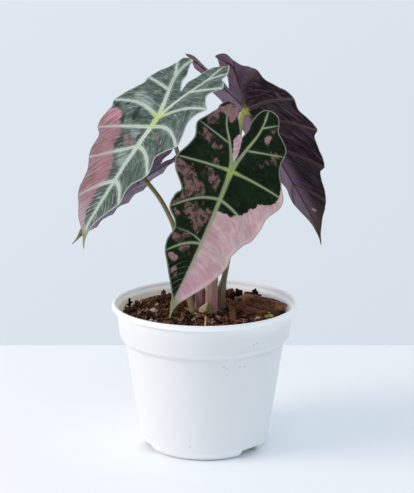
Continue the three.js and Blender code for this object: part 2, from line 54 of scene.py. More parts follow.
# Camera, table and light, in millimetres and degrees
CAMERA_PLACE = (1.55, -900.0, 338.1)
CAMERA_PITCH = 12.95
CAMERA_LENS = 105.06
TABLE_SPAN = ((-1800, 1800), (-1500, 214.6))
KEY_PLACE, KEY_TARGET = (-1320, -400, 900), (0, 0, 100)
KEY_SIZE, KEY_POWER, KEY_COLOR = 0.9, 13.6, (1.0, 0.82, 0.71)

# Pot
NOTCH_ANGLES = (47, 170, 293)  # degrees from the front towards +X
NOTCH_HALF_WIDTH = 9.1
NOTCH_HEIGHT = 3.9
NOTCH_RISE = 1.1  # towards the outside
NOTCH_ROUNDING = 1.3
FOOT_RING = (31, 41.9)
DRAIN_HOLES = 6
DRAIN_CIRCLE, DRAIN_RADIUS, DRAIN_SPAN = 26.8, 2.6, (1.8, 7.2)

# Blades
BLADE_THICKNESS = 0.8
RIB_HEIGHT = 1.1
VEIN_HEIGHT = 0.6
MIDRIB = (1.75, 0.35, 0.8)  # half width at the joint and at the tip, and how fast it shrinks
LOBE_RIB = (1.35, 0.45, 0.8)
MARGIN_WAVE = 1.5
BULGE = 0.8
FINE_SPACING = 3.8  # between the finest veins
FINE_SWEEP = 0.008  # how fast they turn towards the tip
VEIN_BOW = 0.05
RIB_END = 8.5  # from the end of a lobe's rib to the lobe's tip
LOBE_CURL = 48  # how far down a lobe its rib is turned fully out
HOOK_START = 82  # where the tip begins to bend sideways
FOLD_BLEND, LOBE_BLEND = 3, 6  # softening at the midrib
FAR = 50.0

# Distances run through a leaf's flat pattern: x across and y along the midrib from the
# point where the stalk joins, tip at +y, lobes at -y. An outline point with a third value
# ends a span that starts on the rib skeleton at the matching entry of roots, and the value
# is its side vein's size. A fourth is how far that vein sags.
LEAVES = {
    "left": dict(
        joint=(-28.8, -12.4, 216.1), heading=-132, dip=40, roll=2.4, size=1, droop=0.0007,
        lobe_droop=(0.0046, 0.006), sweep=-0.0004, hook=-0.018, fold=(13.5, 5.7), arch=0.0007,
        lobe_spread=(0.37, 0.44), cleft=25, roots=(-25, -38, -49, -38, -25, 0, 8, 24, 52, 103),
        right=[(4, -33), (7, -41, 0), (10, -49), (14, -56, 0.6), (19, -54), (22, -50, 0.5), (23, -41),
            (26, -36), (30, -30, 0.6), (29, -23), (32, -16), (36, -11), (40, -5, 1, 0.12), (37, 1),
            (37, 8), (38, 13), (37, 18, 1, 0.02), (32, 23), (30, 29), (30, 36), (28.5, 41, 1, 0),
            (23, 50), (21, 58), (21, 63), (19, 69, 1, 0.08), (15, 74), (9, 83), (3.5, 90), (1.3, 95)],
        left=[(0.5, -33), (1, -41, 0), (6, -50), (13, -56, 0.6), (20, -53), (25, -45, 0.5), (28, -37),
            (33, -32), (35, -28, 0.6), (33, -25), (30, -19), (33, -13), (37, -8, 1, 0.1), (33, -3),
            (32, 6), (34, 16), (34, 23, 1, 0.15), (28, 28), (24, 33), (24.5, 39), (25, 46, 1, 0.12),
            (19, 53), (17, 59), (16.5, 64), (16, 69, 1, 0.13), (11, 76), (7, 83), (3, 90), (1.2, 95)]),
    "front": dict(
        joint=(16.1, -38, 187), heading=-124.5, dip=54.3, roll=-53.5, size=1, droop=0.0033,
        lobe_droop=(0.0161, 0.0037), sweep=0.0002, hook=-0.012, fold=(4.9, 11.6), arch=0.0006,
        lobe_spread=(0.45, 0.34), cleft=24, roots=(-17, -36, -42, -36, -17, 0, 19.5, 49, 98),
        fine_veins={"right": [([(0, 48), (6, 46.3), (12, 46), (19.5, 47)], 0.3)]},
        right=[(3.4, -34), (4.6, -42, 0), (5.6, -50), (8, -56, 0.6), (12, -52), (17, -45, 0.5),
            (19, -38), (25, -28), (30, -21, 0.6), (31, -16), (30, -9), (32, -2), (36, 7, 1, 0.01),
            (34, 15), (26, 24), (28, 29), (28, 37, 1, 0.1), (22, 43), (20, 48), (21, 55),
            (19, 62, 1, 0.11), (14, 69), (9, 76), (3, 84), (1.2, 90)],
        left=[(2, -30), (3, -37, 0), (6, -45), (11, -49, 0.6), (17, -46), (20, -41, 0.5), (21, -35),
            (28, -27), (29, -22, 0.6), (28, -17), (29, -10), (33, -3), (37, 4, 1, 0.02), (36, 11),
            (31, 19), (30, 27), (28, 35, 1, 0.09), (24, 40), (21, 46), (20, 50), (20.5, 56, 1, 0.1),
            (17, 65), (12, 74), (6, 83), (2, 90)]),
    "right": dict(
        joint=(27.7, 35.5, 214.7), heading=6.8, dip=54.5, roll=-27.2, size=1, droop=0.0024,
        lobe_droop=(0.0087, 0.0051), sweep=0.0005, hook=-0.013, fold=(12.7, 13.9), arch=0.0019,
        lobe_spread=(0.72, 0.37), cleft=18, roots=(-17, -29, -40, -29, -17, 0, 8, 30, 58, 104),
        right=[(8, -28), (11, -35, 0), (14, -40), (18, -43.8, 0.6), (23.4, -40.5), (25.6, -34.5, 0.5),
            (26, -28), (30, -25), (34.8, -21.4, 0.6), (33, -13), (37, -6), (43, -1), (45.8, 4.8, 1),
            (42, 13), (44, 20), (47, 25), (47.8, 29.2, 1), (41, 33), (37, 42), (37, 48),
            (34.8, 53.5, 1), (28, 56), (24, 62), (22.5, 69), (20, 75, 1), (15, 80), (9, 85), (4.5, 91),
            (1.5, 97)],
        left=[(2, -29), (5, -38, 0), (9, -47), (14, -52, 0.6), (20, -46), (25, -39, 0.5), (28, -34),
            (29, -28), (33, -22, 0.6), (35, -14), (35, -7), (36, -2), (38, 4, 1), (35, 10), (33, 16),
            (34, 21), (35, 26, 1), (31, 32), (29, 38), (29, 45), (28, 50, 1), (23, 57), (21, 63),
            (21, 68), (19, 74, 1), (15, 80), (10, 86), (5, 92), (1.6, 97)]),
    "rear": dict(
        joint=(-39.8, 10.1, 174.4), heading=200, dip=35, roll=45.6, size=0.61, droop=0.003,
        lobe_droop=(0.002, 0.002), sweep=0, hook=0, fold=(13.6, 13.6), arch=0, lobe_spread=(0.33, 0.33),
        cleft=22, roots=(-17, -33, -46, -33, -17, 0, 8, 28, 56, 103),
        right=[(4, -30), (7, -38, 0), (10, -45), (14, -50, 0.6), (19, -48), (22, -42, 0.5), (24, -36),
            (27, -30), (31, -24, 0.6), (31, -17), (33, -10), (37, -3), (38, 4, 1), (36, 9), (35, 14),
            (36, 20), (36, 26, 1), (32, 31), (29, 38), (29, 43), (28, 48, 1), (23, 55), (21, 61),
            (20, 66), (19, 71, 1), (15, 76), (9, 84), (4, 91), (1.5, 96)],
        left=[(3, -30), (6, -38, 0), (9, -45), (13, -50, 0.6), (18, -47), (21, -41, 0.5), (24, -35),
            (28, -29), (31, -23, 0.6), (31, -16), (34, -9), (37, -3), (38, 3, 1), (36, 9), (34, 14),
            (35, 20), (36, 25, 1), (32, 31), (29, 37), (28, 43), (28, 47, 1), (23, 54), (21, 60),
            (20, 65), (19, 70, 1), (14, 77), (8, 84), (4, 91), (1.5, 96)]),
}

# Outlines of the pink patches, of the dusky mottled ones, of dark strokes and of grey
# patches of painted sheen, in the leaf's flat pattern
PATCHES = {
    ("pink", "left"): [
        [(60, 3), (33.8, 2.2), (33, 0.6), (30.2, 1), (26.9, 2.9), (24.9, 5.5), (24.6, 7.4), (24.9, 8.9),
         (23, 10.3), (22.2, 12.1), (19.6, 15.4), (17, 18.9), (16, 21.6), (16.5, 23.8), (16.7, 25.8),
         (17.5, 27.2), (15.9, 28.4), (15.4, 30.2), (13.1, 33), (12.1, 36.3), (10.1, 37.8), (9.1, 40),
         (8.3, 42.5), (7.1, 44.2), (7.2, 46.3), (6.9, 49.3), (5.7, 50.7), (6.7, 52.8), (6.6, 54.6),
         (7.9, 56.3), (8, 60.3), (8.7, 62.9), (7.9, 65.3), (8, 67.5), (7.4, 72.5), (6.8, 76.9),
         (4.5, 82), (1.5, 88), (1.5, 94), (30, 96), (60, 60)],
    ],
    ("pink", "front"): [
        # the wide sweep from the jagged line to the tip
        [(0.6, 27.5), (-4, 26.4), (-5.8, 26.6), (-7.2, 25.9), (-8.6, 26.2), (-10.1, 27.2),
         (-11.5, 26.3), (-11.9, 25.2), (-13.2, 24.4), (-14.5, 23.5), (-16.2, 23.2), (-16.7, 21.9),
         (-17.8, 21), (-18.8, 19.7), (-18.2, 18.6), (-19.1, 17.7), (-20.8, 17.1), (-21.5, 16.1),
         (-22.3, 14.9), (-22.1, 13.7), (-23.1, 12.7), (-24.8, 12.7), (-26.6, 12.2), (-28.2, 11),
         (-30.1, 10.6), (-31.5, 9.3), (-32.6, 7.7), (-33.5, 5.7), (-34, 3), (-33.4, 0.4), (-32.6, -2.1),
         (-31.8, -4.6), (-50, -6), (-50, 60), (-20, 92), (0, 92), (0.6, 60)],
        [(16, -42.8), (14.2, -45), (12.4, -48), (9, -52), (5, -52), (4.5, -46), (5, -42), (5.2, -39.6),
         (5.9, -36.6), (7, -34), (8.2, -31.6), (9.3, -32.1), (10.2, -34.6), (10.9, -36.4),
         (11.8, -36.8), (13.2, -36.5), (14.5, -37.2), (15.3, -39.5)],
        [(14.6, -38), (16.4, -43), (17.6, -46), (19, -41), (20.6, -36), (21.8, -33), (20.4, -31.6),
         (19, -33), (18.2, -35), (16.8, -36.4)],
        [(4.4, -19), (4, -21.6), (2.7, -24), (1.6, -26), (0, -27), (-1, -18), (-0.5, -9), (0.2, -4.4),
         (1.2, -6), (2.2, -9.4), (3, -12.6), (3.2, -15.3), (3.8, -17.3)],
        [(-13.2, -28.8), (-14, -30.4), (-15.6, -31.5), (-17.2, -31.2), (-17.3, -29.6), (-16.8, -28.2),
         (-17.1, -26.3), (-16.3, -24.8), (-14.6, -25.2), (-13.4, -26.6)],
        [(16.6, 62.6), (15.6, 61.3), (14, 60.8), (12.5, 61.6), (10.6, 61.5), (9.5, 62.1), (9.9, 64),
         (11, 65.4), (12.8, 65.3), (14.7, 64.8), (16.1, 63.7)],
        [(10.9, 70.8), (10.6, 69.2), (9.5, 68), (8, 67.8), (7.5, 69.2), (8, 70.9), (8.9, 72.4),
         (10.4, 72.2)],
    ],
    ("mottle", "left"): [
        [(14.2, 21), (13.4, 18.6), (10.9, 18.8), (8.3, 19.7), (4.6, 20.4), (2.5, 21.8), (3.6, 24.1),
         (6, 25), (9.1, 25), (11, 24.9), (10.9, 23), (12.5, 22.7)],
        [(-12.8, 20.2), (-12.3, 17), (-12.7, 14.3), (-14.6, 14.8), (-15, 17.5), (-15.2, 20.4)],
    ],
    ("mottle", "front"): [
        [(24.8, -26.1), (23.8, -28.3), (22.3, -30.4), (20.6, -33.1), (18.5, -37), (17.5, -36),
         (17.3, -32.6), (17.7, -29.8), (18.3, -27.5), (19.6, -26.2), (20, -24.7), (20.4, -22.9),
         (21.7, -22.5), (23.2, -23.2), (24.6, -23.9)],
        [(26.1, -16.3), (25.5, -18.1), (24, -18.4), (22.4, -17.6), (21.4, -15.9), (19.9, -16.2),
         (18.7, -15), (18.5, -12.3), (19.3, -10), (20.4, -8.9), (21.7, -10), (23.2, -10.1),
         (24.7, -10.5), (25.8, -11.6), (25.1, -13.6)],
        [(18.1, -9.2), (16.9, -11.3), (14.9, -11), (13, -11.2), (11.3, -13.3), (9.9, -11.9),
         (11.8, -9.2), (13.7, -7.4), (15.6, -7.3), (17.3, -7.6)],
        [(13.5, 0.4), (13.1, -1.8), (12.2, -3), (10.6, -2.7), (9.3, -1.5), (8.6, 0.4), (9.2, 1.9),
         (10.6, 1.9), (12.1, 1.9)],
        [(15.1, 5.2), (13.7, 3.9), (11.6, 3.7), (10.3, 5), (9.8, 6.7), (8.6, 7.3), (6.7, 6.7), (4.8, 7),
         (3.9, 8.7), (4.4, 10.7), (4.1, 12.2), (5, 14.1), (4.9, 16), (6.8, 15.8), (8.3, 14.4),
         (10.1, 13.3), (11.8, 12.1), (12.7, 10.3), (14.2, 8.7), (14.5, 6.6)],
        # the large one on both sides of the second side vein
        [(40, 9.5), (33.7, 7.5), (32, 8.2), (30.7, 9.1), (28.3, 8.8), (26.3, 9.2), (24.9, 10.8),
         (22.6, 11.7), (20.5, 12.7), (19.1, 14.5), (16.7, 15.1), (14.4, 15.6), (12.8, 17.1), (12.2, 19),
         (10.7, 19.9), (11, 22.2), (13.1, 23.8), (15.5, 25.1), (17.9, 25.2), (19.4, 26.6), (20.6, 28.4),
         (22.1, 30.2), (23.5, 31.4), (24.8, 33.2), (28, 36), (26.4, 32.3), (25.1, 30.6), (24.2, 28.5),
         (24.3, 26.7), (26, 25.1), (26.2, 23.5), (25.2, 21.7), (26.9, 20.5), (26.7, 18.2), (28.9, 17.1),
         (30.8, 15.8), (40, 14)],
        [(20.2, 31.8), (18, 29.4), (14.5, 29.4), (11.1, 29.5), (8.1, 29.8), (6.1, 30.3), (3.7, 31.6),
         (2.1, 33.3), (2, 35.2), (3.5, 37.3), (4.2, 39), (3.9, 41.1), (4.6, 43.3), (4.6, 45.1),
         (6.7, 44), (8.6, 42.7), (10.9, 42.1), (9.9, 40), (11.7, 39.2), (13.9, 39.2), (15.3, 38.7),
         (15.3, 37), (17.6, 37), (19.6, 37), (19.1, 35.5), (17.9, 34.3), (19.1, 33.3)],
        [(25.3, 36.7), (23.8, 36.5), (22.2, 36.9), (20.3, 36.5), (19.9, 38), (21, 39.6), (23.1, 39.3),
         (24.8, 38.1)],
        [(8.4, 28.2), (5.8, 28.1), (3.2, 28), (1.6, 28.9), (2.2, 30.9), (4.1, 30.7), (6.1, 30.3)],
        [(19.4, 50.7), (18.6, 49.5), (16.9, 49.3), (14.8, 50.2), (13.6, 48.3), (13.4, 46.9),
         (11.8, 45.9), (10.2, 46.8), (9.9, 48.6), (10.8, 50.1), (10.6, 51.9), (11.6, 53.5), (13, 54.9),
         (14.7, 54.3), (16.7, 53.9), (18.6, 53)],
        [(12.4, 57.1), (11.2, 55.5), (9.4, 54.3), (7.2, 53.3), (5.6, 53.7), (6, 55.7), (7, 57.4),
         (9.1, 58.6), (10.7, 58.2)],
        [(8.1, 72.1), (7.1, 70.9), (5.8, 71.7), (5.9, 73.7), (7, 73.8)],
        [(-15.6, -35.3), (-17, -36.7), (-18.3, -36), (-18.3, -34.1), (-17.1, -33.2), (-16, -33.7)],
        [(-19.6, -18.7), (-20.6, -20.3), (-23, -21.8), (-25.2, -22.1), (-25.8, -20.6), (-24.9, -18.6),
         (-23.6, -16.6), (-21.8, -16.8), (-20.4, -17.4)],
        [(-15, -10.2), (-16.2, -10.9), (-17.2, -10.4), (-16.7, -9), (-15.5, -9)],
        [(-19.1, -13.1), (-20.2, -13.8), (-20.8, -12.9), (-19.8, -12)],
    ],
    ("mottle", "right"): [[(3.9, 77.2), (5.7, 77.8), (7.3, 80.1), (5.9, 80.6), (4, 79.2)]],
    ("shadow", "left"): [
        [(22.6, 11.1), (24.1, 7.9), (23.8, 6.1), (22.7, 5), (21.8, 6.2), (21.7, 8.5), (20.6, 11.3)],
        [(16.8, 4.7), (18.2, 1.4), (18.6, -1.2), (18.1, -3.4), (16.8, -4.3), (15.9, -1.9), (14.8, 1.6),
         (14.4, 4.5), (14.5, 6.5), (15.8, 6.2)],
        [(34.6, 0.3), (36.1, -2.3), (35.7, -3.5), (33.4, -3), (32.1, -0.8), (32.8, 0.5)],
        [(28.4, -3.2), (30, -7.2), (29.3, -8.7), (27.4, -8.5), (27, -6.3), (26.9, -3.6)],
        [(3.8, 20.8), (4.8, 17.7), (4.6, 15.5), (3.6, 15.8), (3.1, 18.5)],
        [(16.6, -26), (13.6, -25.4), (11.1, -23.4), (9.6, -20), (13, -22.4), (15.6, -24)],
    ],
    # Grey patches of painted sheen on the left leaf
    ("painted_sheen_patch", "left"): [
        [(28.8, -12.5), (25.5, -17.7), (16, -14.9), (9.1, -10.6), (8.4, -6.6), (16, -5.9), (21.5, -7.9),
         (26.6, -9.4)],
        [(12.4, 32.1), (10.1, 27.5), (2.8, 29.4), (-1.9, 34.3), (-1, 39.8), (1.8, 42.9), (7.4, 39.2)],
        [(13.7, 13), (7.7, 12), (3.4, 14), (3.5, 19), (7.4, 20)],
    ],
}

# Left leaf's upper face. Its pale grey-greens are partly its own colour and partly painted sheen from
# the soft light it faces, and its sheen clouds are painted reflections.
LEFT_LOOK = dict(
    roughness=0.45, specular=0.3, streaks=0.55, shades=0.75, hairs=0.46, lines=0.12, bloom=0.3,
    bloom_color=(150, 164, 160), tip_lines=0.5, line_start=56, line_jitter=0.9, line_width=0.1, rag=4.2,
    holes=0.44, mottling=0.9, pink_lines=0.32, pink_hairs=0.7, pink_glow=0.4, pale_edge=0.0,
    small_dusk=0.0, small_worn=0.0, flush=(14, 4), blanch=(62, 84), halo=1.7, halo_strength=0.75,
    fray=5.0, crumble=1.2, vein_strength=0.95, vein_on_pink=0.5, rib_on_pink=0.9, vein_end=0.8,
    vein_blush=0.5, core_strength=0.7, heart_reach=13, edge_width=0.75, edge_strength=0.75,
    tip_start=88, dark=(36, 54, 42), mid=(62, 84, 74), light=(108, 128, 120), deep=(28, 42, 32),
    vein=(205, 214, 208), feather=(172, 186, 178), rib=(205, 214, 204), rib_tip=(206, 214, 208),
    core=(130, 150, 108), heart=(166, 188, 104), pink=(120, 84, 89), pink_light=(140, 104, 110),
    pink_dark=(96, 62, 65), pink_vein=(190, 174, 180), pink_flush=(178, 124, 133),
    pink_blanch=(184, 168, 176), dusk=(132, 108, 110), dusk_dark=(102, 88, 86),
    dusk_pink=(132, 108, 110), edge=(190, 198, 190), edge_pink=(130, 116, 112), tip=(128, 130, 98))
# Front leaf's upper face. Its pale blue-green clouds are painted reflections of the light.
FRONT_LOOK = dict(
    roughness=0.4, specular=0.08, streaks=0.2, shades=0.6, hairs=0.04, lines=0.02, bloom=0.2,
    bloom_color=(52, 74, 62), tip_lines=0.5, line_start=58, line_jitter=0.5, line_width=0.1, rag=2.4,
    holes=0.44, mottling=0.92, pink_lines=0.3, pink_hairs=0.3, pink_glow=0.0, pale_edge=0.35,
    small_dusk=1.0, small_worn=0.45, flush=(-60, -70), blanch=(52, 80), halo=1.3, halo_strength=0.35,
    fray=2.0, crumble=0.6, vein_strength=0.85, vein_on_pink=0.22, rib_on_pink=0.75, vein_end=0.4,
    vein_blush=0.9, core_strength=0.45, heart_reach=8, edge_width=1.0, edge_strength=0.7, tip_start=82,
    dark=(7, 20, 4), mid=(14, 33, 9), light=(26, 50, 20), deep=(5, 11, 3), vein=(124, 135, 110),
    feather=(80, 92, 72), rib=(136, 149, 106), rib_tip=(142, 152, 130), core=(166, 178, 116),
    heart=(154, 170, 88), pink=(186, 148, 150), pink_light=(204, 176, 177), pink_dark=(172, 128, 134),
    pink_vein=(214, 200, 196), pink_flush=(182, 142, 144), pink_blanch=(182, 136, 154),
    dusk=(130, 97, 93), dusk_dark=(60, 54, 42), dusk_pink=(164, 124, 127), edge=(140, 146, 128),
    edge_pink=(176, 148, 142), tip=(132, 136, 104))
# Underside. Its lighter violet on the left half and the lobes is painted sheen.
UNDER_LOOK = dict(
    roughness=0.48, specular=0.1, left_share=1.0, lobe_share=0.95, net=0.75, vein_strength=0.85,
    heart_reach=5, arc_strength=0.7, tip_start=70, dark=(14, 5, 11), light=(28, 15, 23),
    left=(116, 92, 118), net_color=(112, 82, 86), arc=(94, 70, 98), vein=(118, 92, 72),
    core=(46, 30, 26), heart=(202, 206, 116), edge=(60, 48, 50), tip=(76, 62, 44), spot=(176, 160, 132))

# Stalk centrelines from the rhizome to just short of the joint, each with its radius
STALKS = {
    "left": [(-2.6, 3.2, 76.4, 3.6), (-2.6, 3.2, 88, 3.6), (-2.6, 3.2, 97, 3.5), (-2.9, 3.1, 105, 3),
             (-4.2, 2.9, 115, 2.2), (-5.6, 3.2, 126, 1.8), (-10, 3.4, 160, 1.55), (-15.5, 2, 185, 1.4),
             (-19.2, -2.6, 199, 1.35)],
    "front": [(4.3, -1.2, 76.4, 3.8), (4.3, -1.2, 88, 3.8), (4.4, -1.4, 98, 3.9), (4.9, -2, 107, 3.6),
              (6.4, -3.4, 116, 2.8), (7.6, -5.2, 125, 2.3), (10, -11.5, 148, 1.9),
              (11.6, -20, 168, 1.75), (11.6, -26.5, 178.5, 1.7)],
    "right": [(8.9, 6.2, 76.4, 3.1), (9.3, 6.2, 88, 3.1), (10.4, 6.4, 96, 3.1), (11.3, 6.6, 102.5, 2.8),
              (12.4, 7, 107, 2), (13.4, 7.5, 112, 1.85), (15.2, 8.8, 122, 1.8), (18.2, 11.6, 140, 1.9),
              (20.4, 20, 170.5, 2), (22, 29, 196.5, 1.9), (23.3, 31.4, 205.7, 1.8)],
    "rear": [(-7.1, -4.1, 76.4, 2.2), (-7.2, -4, 86, 2.2), (-9, -2.4, 94, 2), (-11.2, -0.4, 103, 1.85),
             (-15.6, 3, 122, 1.7), (-19.8, 4, 143, 1.55), (-24, 5, 153, 1.5), (-29.5, 6, 162.5, 1.45)],
}
# Directions of the sheath's two edges round each stalk, in radians
SHEATH_EDGES = {"left": (1.25, -1.9), "front": (1.2, -1.7), "right": (1.0, 2.2),
                "rear": (0.9, 2.4)}
STALK_LOOKS = {
    "left": dict(foot=(150, 100, 104), low=(146, 104, 104), mid=(138, 128, 82),
                 top=(150, 160, 84), rim=(186, 176, 138)),
    "front": dict(foot=(164, 112, 116), low=(166, 116, 120), mid=(128, 112, 70),
                  top=(160, 172, 88), rim=(204, 182, 152)),
    "right": dict(foot=(96, 88, 58), low=(98, 88, 60), mid=(112, 106, 58),
                  top=(212, 220, 116), rim=(150, 144, 104)),
    "rear": dict(foot=(104, 92, 56), low=(124, 112, 72), mid=(136, 128, 82),
                 top=(146, 140, 88), rim=(150, 142, 104)),
}

# Turned wall of the pot: radius and height, from the middle of the underside up the
# outside, over the lip and down the inside
OUTER_WALL = [(0, 0), (22, 0), (22.8, 3), (33, 3), (33.6, 0), (37.2, 0), (39.3, 1.2), (41, 3.4),
              (42.1, 6.4), (51.4, 69.4), (52.2, 70.8), (54.6, 72.8), (55.1, 74.4), (56.8, 91.2),
              (59.2, 91.4), (60, 92.1), (60, 93.2), (59.5, 93.6), (59.4, 94.4), (58.9, 95), (58.3, 95)]
INNER_WALL = [(57.5, 94.4), (57.1, 93), (57.3, 92.6), (57.0, 92), (55.4, 90.4), (53.7, 74),
              (50.4, 70.2), (49.9, 68.6), (40.5, 7), (38.1, 4.6), (21.6, 4.6), (20.8, 1.6), (0, 1.6)]
# Specks of soil on the outside of the wall
POT_SPECKS = [(30.6, -46.4, 79.3), (32.5, -45.2, 80.3), (12.1, -49.5, 66.1), (13.9, -48.7, 64.5),
              (22.1, -45.7, 64.9), (24.6, -44.3, 64.4), (-9.2, -41.7, 10.7)]

# Potting mix: its level, its radius at the top, and the radius and height down its side
SOIL_LEVEL, SOIL_RADIUS, WALL_GAP = 84.6, 54.4, 0.45
SCATTER_RADIUS = 53.6
SOIL_SIDE = [(54.35, 83.0), (53.3, 74.2), (50.05, 70.4), (49.5, 68.8), (40.1, 7.3), (37.7, 5.0),
             (21.2, 5.0), (20.4, 2.0)]
# Crossed waves of the ground: two rates and a height
CRUMB_WAVES = ((1.9, 1.2, 0.3), (-1.4, 2.3, 0.28), (3.1, -2.6, 0.2), (4.3, 3.7, 0.14),
               (-5.2, 4.9, 0.1), (6.7, -5.8, 0.08))
BARK_TONES = ((28, 17, 13), (114, 74, 52), (166, 122, 96), (214, 192, 164))
GRIT_TONES = ((96, 80, 66), (150, 130, 108), (196, 184, 166), (232, 228, 220))
# How many small chips, fibres and grains of grit there are, and what the torn scraps are
# like: shortest and longest, width and thickness as shares of that, and height above the soil
CHIP_COUNT, FIBRE_COUNT, GRIT_COUNT = 90, 380, 90
SCRAPS = {
    "bark_shreds": dict(count=3400, size=(1.6, 6.5), width=(0.16, 0.5), thick=(0.1, 0.22),
                        rise=(-0.6, 2.2), sections=4, rough=0.1),
    "bark_grains": dict(count=3200, size=(0.7, 1.7), width=(0.6, 1.0), thick=(0.5, 0.9),
                        rise=(-0.4, 1.9), sections=2, rough=0.16),
}
# Large bark pieces: one end, the other end, width, thickness and tone
LARGE_CHIPS = [
    ((24.5, 23, 89.6), (50.5, 9.5, 88.6), 8, 7.5, 0.62), ((36, 17.5, 91), (46, 13.5, 91), 4, 4.5, 0.55),
    ((17.4, 19.5, 89), (39.5, -8.7, 88), 4, 3.4, 0.42), ((14, 14, 88.6), (31, -2, 87.6), 4, 3, 0.3),
    ((18, 12, 87.6), (17.6, -20, 86.6), 4.6, 4.4, 0.42),
    ((22.3, 32.6, 86), (22.8, 32.2, 94), 5.4, 4.5, 0.1), ((18, 33, 89), (24, 35, 90), 4, 5, 0.16),
    ((33.2, 32.6, 86), (34, 32, 94), 4.4, 3.6, 0.05), ((30, 31, 90), (37, 28, 90.4), 4, 4, 0.2),
    ((27, 38, 89), (35, 35, 90), 4, 4, 0.25), ((-49.4, 17.9, 83), (-49.6, 17.6, 92), 1.6, 1.3, 0.2),
    ((-51, 16, 88), (-47.6, 18.6, 89.4), 1.4, 1.2, 0.2),
    ((-45.5, 20.4, 84), (-45.2, 20.2, 89.6), 2.2, 1.6, 0.3),
    ((-28.4, 33.5, 85), (-27.6, 33.8, 93), 3.6, 3, 0.35), ((-31, 31, 88), (-23, 36, 88.5), 3.6, 3, 0.3),
    ((13.1, 41.7, 89), (19, 40, 91), 4, 4, 0.3), ((-44, 24, 87), (-33, 30, 88), 4, 3, 0.4),
    ((-20, 20, 87), (-8, 27, 88), 4.5, 3, 0.35), ((38, 0, 86.6), (49, 3, 87), 5, 3, 0.35),
    ((24, -24, 85), (37, -20, 86), 4, 2.6, 0.45), ((-24, -30, 85), (-14, -24, 86), 4, 2.6, 0.4),
    ((44, -6, 86), (47, 4, 87), 4, 3, 0.3),
]
# Pale lumps: place, size and tone
PALE_LUMPS = [((-33.9, 3.3, 87.4), 3.6, 1.0), ((-31.6, 4.4, 87), 2.2, 0.95),
              ((-34.1, -17, 86.6), 2.6, 0.85), ((-31, -17.6, 86.4), 2.0, 0.7),
              ((-31.4, 15.6, 88), 2.4, 0.75), ((21.4, 20.9, 91), 3.0, 0.45), ((-40, 6, 87), 2.2, 0.4),
              ((10, 18, 88), 1.8, 0.7), ((-22, 10, 87.6), 1.7, 0.8)]


def srgb(*levels):
    """A screen colour, 0 to 255 each, as the linear colour that a shader takes."""
    shares = [level / 255 for level in levels]
    return (*[v / 12.92 if v <= 0.04045 else ((v + 0.055) / 1.055) ** 2.4 for v in shares], 1.0)


class Value:
    """An output of a node graph. Sums on it add the nodes that work them out."""

    def __init__(self, graph, socket):
        self.graph, self.socket = graph, socket

    def __add__(self, other):
        return self.graph.math("ADD", self, other)

    def __sub__(self, other):
        return self.graph.math("SUBTRACT", self, other)

    def __rsub__(self, other):
        return self.graph.math("SUBTRACT", other, self)

    def __mul__(self, other):
        return self.graph.math("MULTIPLY", self, other)

    def __abs__(self):
        return self.graph.math("ABSOLUTE", self)

    __radd__, __rmul__ = __add__, __mul__

    def least(self, other):
        return self.graph.math("MINIMUM", self, other)

    def most(self, other):
        return self.graph.math("MAXIMUM", self, other)

    def swing(self, reach):
        """A value of 0 to 1 moved to lie about zero, and scaled to the reach."""
        return (self - 0.5) * reach

    def step(self, low, high, to_low=0.0, to_high=1.0, kind="SMOOTHSTEP"):
        """to_low below low, to_high above high, and a soft step between."""
        return self.graph.node("MapRange", {"Value": self, "From Min": low, "From Max": high,
                               "To Min": to_low, "To Max": to_high}, interpolation_type=kind)


class Graph:
    """A node graph, built by short calls that each return a Value."""

    def __init__(self, tree):
        self.tree = tree

    def put(self, value, socket):
        if isinstance(value, Value):
            self.tree.links.new(value.socket, socket)
        else:
            socket.default_value = srgb(*value) if socket.type == "RGBA" else value

    def node(self, kind, inputs=(), out=0, **settings):
        node = self.tree.nodes.new("ShaderNode" + kind)
        for key, value in settings.items():
            setattr(node, key, value)
        for key, value in dict(inputs).items():
            self.put(value, node.inputs[key])
        return Value(self, node.outputs[out])

    def math(self, operation, a, b=0.0, c=0.0):
        return self.node("Math", {0: a, 1: b, 2: c}, operation=operation)

    def attribute(self, name, out="Fac"):
        return self.node("Attribute", out=out, attribute_name=name)

    def local(self):
        """The object's own coordinates, which are the frame's metres."""
        return self.node("TexCoord", out="Object")

    def axis(self, vector, name):
        return self.node("SeparateXYZ", {0: vector}, name)

    def noise(self, vector, scale, detail, rough, distortion=0.0, stretch=None, turn=0.0):
        if stretch:
            vector = self.node("Mapping", {"Vector": vector, "Scale": stretch,
                                           "Rotation": (0, 0, turn)})
        return self.node("TexNoise", {"Vector": vector, "Scale": scale, "Detail": detail,
                                      "Roughness": rough, "Distortion": distortion})

    def layers(self, color, *coats):
        """A colour under coats, each given as its share and its own colour."""
        for share, coat in coats:
            color = self.node("Mix", {"Factor": share, 6: color, 7: coat}, 2, data_type="RGBA",
                              clamp_factor=True)
        return color

    def bump(self, height, strength, distance):
        return self.node("Bump", {"Height": height, "Strength": strength, "Distance": distance})


class Shade(Graph):
    """A material and its node graph."""

    SOCKETS = {"color": "Base Color", "specular": "Specular IOR Level",
               "subsurface": "Subsurface Weight"}

    def __init__(self, name, **shader_values):
        self.material = bpy.data.materials.new(name)
        self.material.use_nodes = True
        super().__init__(self.material.node_tree)
        self.set(**shader_values)

    def set(self, **values):
        inputs = self.tree.nodes["Principled BSDF"].inputs
        for key, value in values.items():
            self.put(value, inputs[self.SOCKETS.get(key, key.replace("_", " ").title())])


